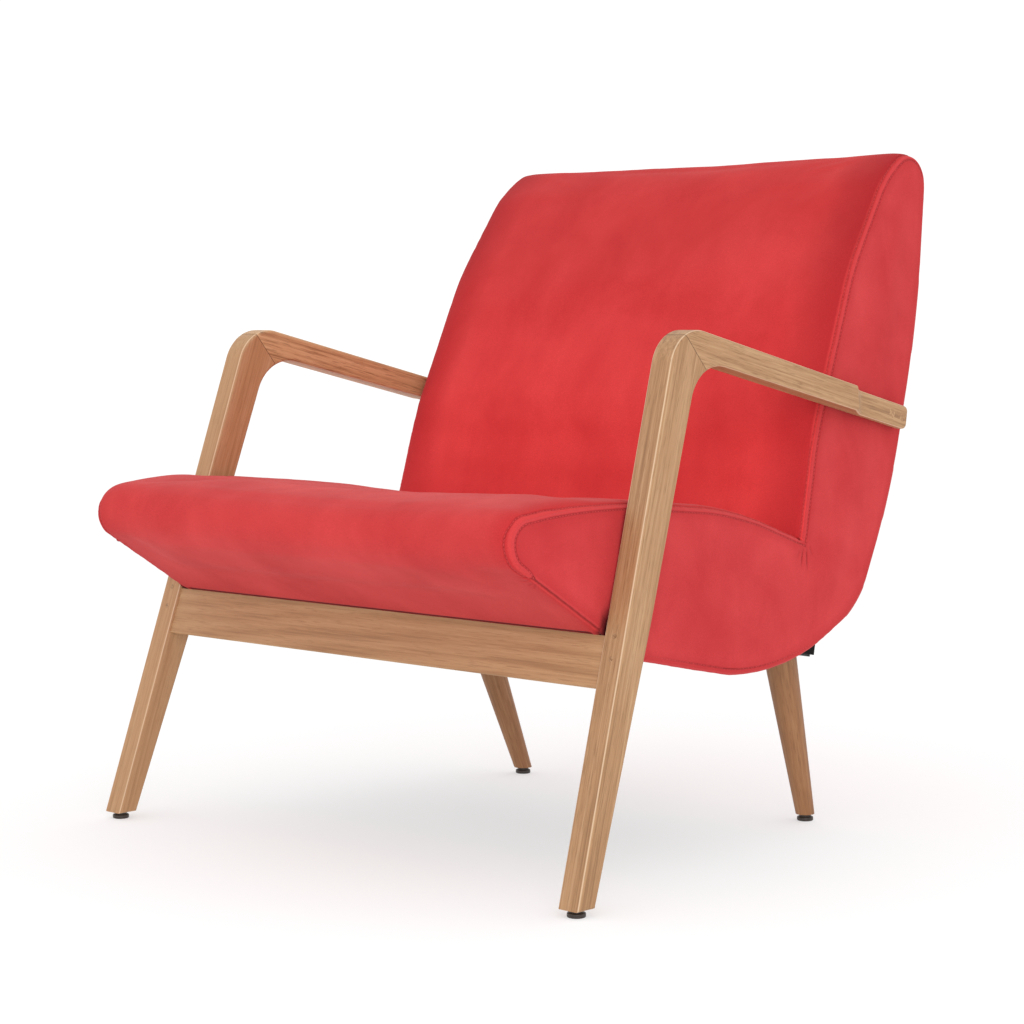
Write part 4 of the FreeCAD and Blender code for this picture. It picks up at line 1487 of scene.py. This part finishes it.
@dataclass
class Shell:
    """The upholstered shell: padded seat, back and sides, outside back, dust cloth and straps."""

    outline: ShellOutline = field(default_factory=ShellOutline)
    edge: SeamEdge = field(default_factory=SeamEdge)
    crease_round: float = 0.005
    seat_under: tuple[Point, ...] = ((-0.1672, 0.2271, 0.0), (-0.2196, 0.2593, 0.0), (-0.1750, 0.3319, 0.0),
                                     (-0.0147, 0.3189, 0.0), (0.1317, 0.2691, 0.0))
    back_inside: tuple[Point, ...] = ((0.1317, 0.2691, 0.0), (0.1697, 0.4213, 0.0), (0.2407, 0.5917, 0.0),
                                      (0.2897, 0.6651, 0.0), (0.3318, 0.6903, 0.0), (0.3349, 0.6805, 0.0))
    crest_hem: Point = (0.3423, 0.6843, 0.0)
    heel_hem: Point = (0.1580, 0.2314, 0.0)
    inside: Pair = (0.10, 0.42)
    seat_puffs: tuple[float, ...] = (0.003, 0.005, 0.010, 0.001)
    seat_dishes: tuple[float, ...] = (0.008, 0.013, 0.008, 0.0)
    seat_slack: Pair = (0.080, 0.150)
    back_puffs: tuple[float, ...] = (0.001, 0.004, 0.008, 0.012, 0.004)
    back_dishes: tuple[float, ...] = (0.0, 0.004, 0.0, 0.0, 0.0)
    pad_fill: float = 0.85
    panel_fill: float = 0.7
    panel_cap: float = 0.0025
    unevenness: tuple[Pair, ...] = ((0.11, 0.0014), (0.035, 0.0005), (0.009, 0.0005))
    ripple_reach: float = 0.010
    cloth: float = 0.002
    dust_line: tuple[Point, ...] = ((-0.1670, 0.2270, 0.0), (0.0460, 0.1872, 0.226), (0.1580, 0.2400, 0.0))
    rear_cut: Pair = (0.603, 0.490)
    dust_cut: Pair = (0.626, 0.338)
    strap_corner: float = 0.8
    strap_round: float = 0.0005
    pad_row: float = 0.0034
    nose_row: float = 0.0070
    nose_run: Pair = (0.20, 0.32)
    panel_row: float = 0.0036
    # Each crease's third number is the share of painted shade in its groove.
    row_crease: Crease = Crease(0.0009, 0.0019, 0.36)
    gather_strides: int = 12
    crest_start: Pair = (0.3450, 0.7150)
    pucker: Pair = (-0.3083, 0.3135)
    pucker_fine: float = 0.030
    pucker_pit: Crease = Crease(0.0010, 0.0030, 0.50)
    pucker_way: Point = (0.0, 0.852, -0.524)
    pucker_gap: float = 0.002
    pucker_folds: tuple[Point, ...] = ((-0.004, -0.004, 0.012), (0.000, 0.003, 0.016), (0.004, 0.008, 0.013),
                                       (0.007, 0.010, 0.008))
    seam_end: Pair = (-0.1900, 0.2390)
    seam_crease: Crease = Crease(0.0008, 0.0022, 0.50)
    hem_rows: tuple[float, ...] = (0.0064,)
    hem_start: Pair = (-0.1500, 0.2225)
    hem_end: Pair = (0.1100, 0.2160)
    hem_crease: Crease = Crease(0.0009, 0.00133, 0.5, True)
    corner_fine: float = 0.040
    deep_folds: tuple[tuple[Pair, Pair], ...] = (((0.1030, 0.3185), (0.0975, 0.2970)),
                                                 ((0.1085, 0.3190), (0.1080, 0.2940)))
    deep_crease: Crease = Crease(0.0016, 0.0020, 0.40, True)
    light_folds: tuple[tuple[Pair, Pair], ...] = (((0.0985, 0.3180), (0.0900, 0.3060)),
                                                  ((0.1130, 0.3200), (0.1180, 0.3080)))
    light_crease: Crease = Crease(0.0007, 0.0020, 0.15, True)
    rail_line: Point = (0.300, -0.2172, 0.2558)
    rail_strides: int = 600
    rail_fine: float = 0.009
    # Painted shadow along the gap between the seat's apron and the front rail.
    rail_shadow_crease: Crease = Crease(0.0016, 0.0048, 1.0)
    # Painted shadow between the panel, the leg and the rail, over a shallow dent.
    leg_shadow_line: tuple[Pair, Pair] = ((-0.2175, 0.2360), (-0.2085, 0.2810))
    panel_shadow_tuck: Crease = Crease(0.0025, 0.012, 1.0, True)
    pad_shadow_tuck: Crease = Crease(0.0012, 0.012, 1.0, True)
    leg_fold: tuple[Point, Point] = ((0.2840, -0.1745, 0.380), (0.3035, -0.1655, 0.377))
    leg_crease: Crease = Crease(0.0016, 0.0032, 0.5, True)
    clear_x: float = 0.5
    flank_x: float = 0.31

    def build(self, frame: dict) -> None:
        """Makes the soft pieces and dresses them.

        Args:
            frame: The loaded frame.
        """
        # One velvet in three copies whose colours differ a little: painted light and shade for how the seat,
        # the back and the sides face the light. The back's copy adds a wide, dark seam strip, painted shade
        # where its pad curves away, and painted light that is brighter at its foot and darker at its head.
        seat = Velvet("velvet_seat", (0.50, 0.033, 0.035), (0.63, 0.054, 0.055), (0.49, 0.025, 0.028))
        back = Velvet("velvet_back", (0.53, 0.030, 0.032), (0.65, 0.048, 0.049), (0.36, 0.014, 0.018),
                      seam_width=0.065, sheen=0.07, painted_light_by_height=(1.20, 0.92))
        sides = Velvet("velvet_side", (0.475, 0.029, 0.033), (0.605, 0.054, 0.058), (0.47, 0.030, 0.034),
                       seam_width=0.014).material()
        pads = self.pads(seat.material(), back.material())
        low = self.edge.under_drop / self.edge.seam_drop
        rear = Section([self.heel_hem, *self.outline.named("heel", "spine", "shoulder"), self.crest_hem,
                        *self.backing(("shoulder", "spine", "heel"), self.crest_hem, self.heel_hem)],
                       rolls=(low,) * 4, puffs=(0.0,) * 4, dishes=(0.0,) * 4)
        self.stretch(Spanned("outside_back", rear, self.edge).build(), "outside_back_cover", sides,
                     self.rear_cut)
        above = [(y, z + self.cloth, turn) for y, z, turn in self.dust_line[::-1]]
        under = Section([*self.dust_line, *above], rolls=(1.0, 1.0), puffs=(0.0, 0.0), dishes=(0.0, 0.0))
        weave = Mottled("dust_weave", (0.010, 0.010, 0.011), (0.030, 0.030, 0.032), (0.0012, 0.0012, 0.0012),
                        (0.85, 0.95)).material()
        self.stretch(Spanned("dust_cloth", under, self.edge).build(), "dust_cover", weave,
                     self.dust_cut)
        self.straps(frame)
        thread = Mottled("thread", (0.50, 0.034, 0.038), (0.62, 0.066, 0.070), (0.002, 0.002, 0.002),
                         (0.60, 0.70), specular=0.3).material()
        for side in Side:
            panel = SidePanel(side, self.outline, self.edge).build(frame["nodes"][f"armrest_{side.word}"])
            solids = (f"side_cover_{side.word}", f"side_padding_{side.word}")
            self.stuff(panel, Swelling(cap=self.panel_cap), self.panel_fill, solids, sides)
            self.sew(side, panel, pads, Stitching(thread))

    def pads(self, *finishes: Material) -> list[Object]:
        """Makes the seat's and the back's pads, with a painted shadow along the seat's front rail.

        Args:
            finishes: The seat's and the back's finish.

        Returns:
            The two pads.
        """
        crotch = (*self.outline.corners["crotch"][:2], self.crease_round)
        hem = (*self.outline.corners["keel_front"][:2], 0.0)
        over = self.outline.named("seat_bend", "seat_front", "nose")
        seat = Section([crotch, *over, hem, *self.seat_under], (1.0, 1.0, 1.0, 1.0), self.seat_puffs,
                       self.seat_dishes, last_slack=self.seat_slack)
        low = self.edge.under_drop / self.edge.seam_drop
        over = self.outline.named("crest_rear", "crest", "back_bend", "lumbar")
        back = Section([self.crest_hem, *over, crotch, *self.back_inside], (low, 1.0, 1.0, 1.0, 1.0),
                       self.back_puffs, self.back_dishes)
        pieces = [Spanned("seat_pad", seat, self.edge).build(), Spanned("back_pad", back, self.edge).build()]
        for place, piece, finish in zip(("seat", "back"), pieces, finishes):
            self.stuff(piece, Swelling(), self.pad_fill, (f"{place}_cover", f"{place}_foam"), finish)
        # Painted shadow in a shallow groove where the seat's apron meets the front rail.
        half, y, z = self.rail_line
        line = between(Vector((-half, y, z)), Vector((half, y, z)), self.rail_strides)
        refine(pieces[0], line, self.rail_fine)
        press(pieces[0], line, self.rail_shadow_crease)
        return pieces

    def backing(self, names: Sequence[str], first: Point, last: Point) -> list[Point]:
        """Inner line of a cloth's section, a cloth's thickness inside the outline.

        Args:
            names: Corners between the two ends.
            first: End to start from.
            last: End to finish at.

        Returns:
            The inner corners.
        """
        inner = dict(zip(self.outline.corners, self.outline.moved(-self.cloth, -self.cloth)))
        middle = Vector(self.inside)
        ends = []
        for end in (first, last):
            way = (middle - Vector(end[:2])).normalized() * self.cloth
            ends.append((end[0] + way.x, end[1] + way.y, 0.0))
        return [ends[0], *[inner[name] for name in names], ends[1]]

    def stretch(self, piece: Object, solid: str, finish: Material, cut: Pair) -> None:
        """Dresses a stretched cloth, attaches it and hides the solid that it stands for.

        Args:
            piece: The cloth.
            solid: Solid of the frame that it stands for.
            finish: Its finish.
            cut: Width and length that it was cut to; not used.
        """
        piece.data.materials.append(finish)
        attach(piece, "root")
        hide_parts(solid)
        log.info("made %s with %d faces", piece.name, len(piece.data.polygons))

    def straps(self, frame: dict) -> None:
        """Straps under the pads, with softened edges.

        Args:
            frame: The loaded frame.
        """
        finish = Mottled("strap_weave", (0.10, 0.085, 0.07), (0.17, 0.15, 0.12), (0.004, 0.002, 0.002),
                         (0.8, 0.95)).material()
        for place in ("seat", "back"):
            form = copy_of(frame["nodes"][f"{place}_webbing"])
            sharp = [edge for edge in form.edges
                     if edge.is_manifold and edge.calc_face_angle() > self.strap_corner]
            bmesh.ops.bevel(form, geom=sharp, offset=self.strap_round, offset_type="OFFSET", segments=2,
                            profile=0.5, affect="EDGES", clamp_overlap=True, material=-1)
            piece = to_piece(f"{place}_straps", form)
            piece.data.materials.append(finish)
            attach(piece, "root")
            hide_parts(f"{place}_webbing")
            log.info("made %s with %d faces", piece.name, len(piece.data.polygons))

    def stuff(self, piece: Object, swelling: Swelling, fill: float, solids: Sequence[str],
              velvet: Material) -> None:
        """Args:
            piece: The piece.
            swelling: How it swells.
            fill: How full it is; not used.
            solids: Solids of the frame that it stands for.
            velvet: Its finish.
        """
        swelling.run(piece)
        finer = piece.modifiers.new("finer", "SUBSURF")
        finer.levels = finer.render_levels = 1
        bake_modifiers(piece)
        crumple(piece, self.unevenness, self.ripple_reach)
        piece.data.materials.append(velvet)
        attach(piece, "root")
        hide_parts(*solids)
        log.info("made %s with %d faces", piece.name, len(piece.data.polygons))

    def wrinkle(self, side: Side, panel: Object, pad: Object, spot: Vector) -> None:
        """Presses one side's creases under the crotch, its pucker and the dent beside the leg, each with
        painted shade; beside the leg it is mostly a painted shadow between the panel, the leg and the rail.

        Args:
            side: The side.
            panel: Its panel.
            pad: The seat's pad.
            spot: Where the twin rows run together.
        """
        corner = self.on_panel(side, panel, [self.outline.corners["crotch"][:2]])
        refine(panel, corner, self.corner_fine)
        for folds, crease in ((self.deep_folds, self.deep_crease), (self.light_folds, self.light_crease)):
            for first, last in folds:
                line = between(Vector(first), Vector(last))
                press(panel, self.on_panel(side, panel, line), crease)
        for piece in (panel, pad):
            refine(piece, [spot], self.pucker_fine)
            press(piece, [tree_of([piece.data]).find_nearest(spot)[0]], self.pucker_pit)
        # Painted shadow between the panel, the leg and the rail, pressed in as a shallow dent.
        painted_shade = between(*[Vector(end) for end in self.leg_shadow_line])
        for piece, crease in ((panel, self.panel_shadow_tuck), (pad, self.pad_shadow_tuck)):
            press(piece, self.on_panel(side, panel, painted_shade), crease)
        tree = tree_of([pad.data])
        line = between(*[Vector((side.value * x, y, z)) for x, y, z in self.leg_fold])
        press(pad, [tree.find_nearest(place)[0] for place in line], self.leg_crease)
        way = Vector(self.pucker_way)
        inward = Vector((-side.value, 0.0, 0.0))
        for shift, turn, reach in self.pucker_folds:
            first = spot + way * shift + inward * self.pucker_gap
            line = between(first, first + way * turn + inward * reach)
            press(pad, [tree.find_nearest(place)[0] for place in line], self.light_crease)

    def sew(self, side: Side, panel: Object, pads: Sequence[Object], stitching: Stitching) -> None:
        """Presses the seams, hem and creases of one side into its pieces with painted shade in their grooves,
        and sews them.

        Args:
            side: The side.
            panel: Its panel.
            pads: The seat's and the back's pads.
            stitching: The thread.
        """
        drop = self.edge.seam_drop
        run = self.outline.path(-drop, -self.edge.under_drop, self.crest_start, self.pucker)
        spot = self.beside(side, run[-1], 0.0)
        self.wrinkle(side, panel, pads[0], spot)
        covers = tree_of([pad.data for pad in pads])
        wider = self.nose_row - self.pad_row
        rows = [self.pad_row + wider * ease_in(-y, *self.nose_run) for y, _ in run]
        pad_line = self.gather([self.beside(side, *pair) for pair in zip(run, rows)], spot, covers)
        for pad in pads:
            press(pad, pad_line, self.row_crease)
        inset = drop + self.panel_row
        run = self.outline.path(-inset, -inset, self.crest_start, self.pucker)
        panel_line = self.gather(self.on_panel(side, panel, run), spot, tree_of([panel.data]))
        press(panel, panel_line, self.row_crease)
        hems = []
        for row in self.hem_rows:
            inset = self.edge.under_drop + row
            run = self.outline.path(-inset, -inset, self.hem_start, self.hem_end)
            hems.append(self.on_panel(side, panel, run))
            press(panel, hems[-1], self.hem_crease)
        run = self.outline.path(-drop, -self.edge.under_drop, self.pucker, self.seam_end)
        plain = [self.beside(side, place, 0.0) for place in run]
        for piece in (pads[0], panel):
            press(piece, plain, self.seam_crease)
        covers = tree_of([pad.data for pad in pads])
        flank = tree_of([panel.data])
        stitching.sew(f"topstitch_cover_{side.word}", covers, pad_line)
        stitching.sew(f"topstitch_panel_{side.word}", flank, panel_line)
        for count, line in enumerate(hems):
            stitching.sew(f"hem_stitch_{count}_{side.word}", flank, line)

    def beside(self, side: Side, place: Pair, distance: float) -> Vector:
        """Point of the side view at a distance from one side's seam.

        Args:
            side: The side.
            place: Y and Z of the point.
            distance: Distance from the seam, in towards the chair's middle.

        Returns:
            The point.
        """
        return Vector((side.value * (self.edge.plane(*place) - distance), *place))

    def gather(self, line: Sequence[Vector], spot: Vector, tree: BVHTree) -> list[Vector]:
        """Draws the end of a row of stitches in to the pucker.

        Args:
            line: The row's points.
            spot: The pucker.
            tree: The surface that the row lies on.

        Returns:
            The row's points on that surface.
        """
        found = []
        for index, place in enumerate(line):
            share = max(0.0, 1.0 - (len(line) - 1 - index) / self.gather_strides)
            found.append(tree.find_nearest(place.lerp(spot, share * share))[0])
        return found

    def on_panel(self, side: Side, panel: Object, run: Iterable[Pair | Vector]) -> list[Vector]:
        """Finds points of the side view on a panel's face.

        Args:
            side: The panel's side.
            panel: The panel.
            run: Y and Z of the points.

        Returns:
            The points on its surface.
        """
        tree = tree_of([panel.data])
        way = Vector((-side.value, 0.0, 0.0))
        found = []
        for y, z in run:
            start = Vector((side.value * self.clear_x, y, z))
            flank = Vector((side.value * self.flank_x, y, z))
            found.append(tree.ray_cast(start, way)[0] or tree.find_nearest(flank)[0])
        return found


def main() -> None:
    """Loads the frame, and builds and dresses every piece."""
    logging.basicConfig(level=logging.INFO, format="%(name)s: %(message)s")
    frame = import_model()
    Studio().build()
    WoodFrame().dress(frame)
    Shell().build(frame)


if __name__ == "__main__":
    main()
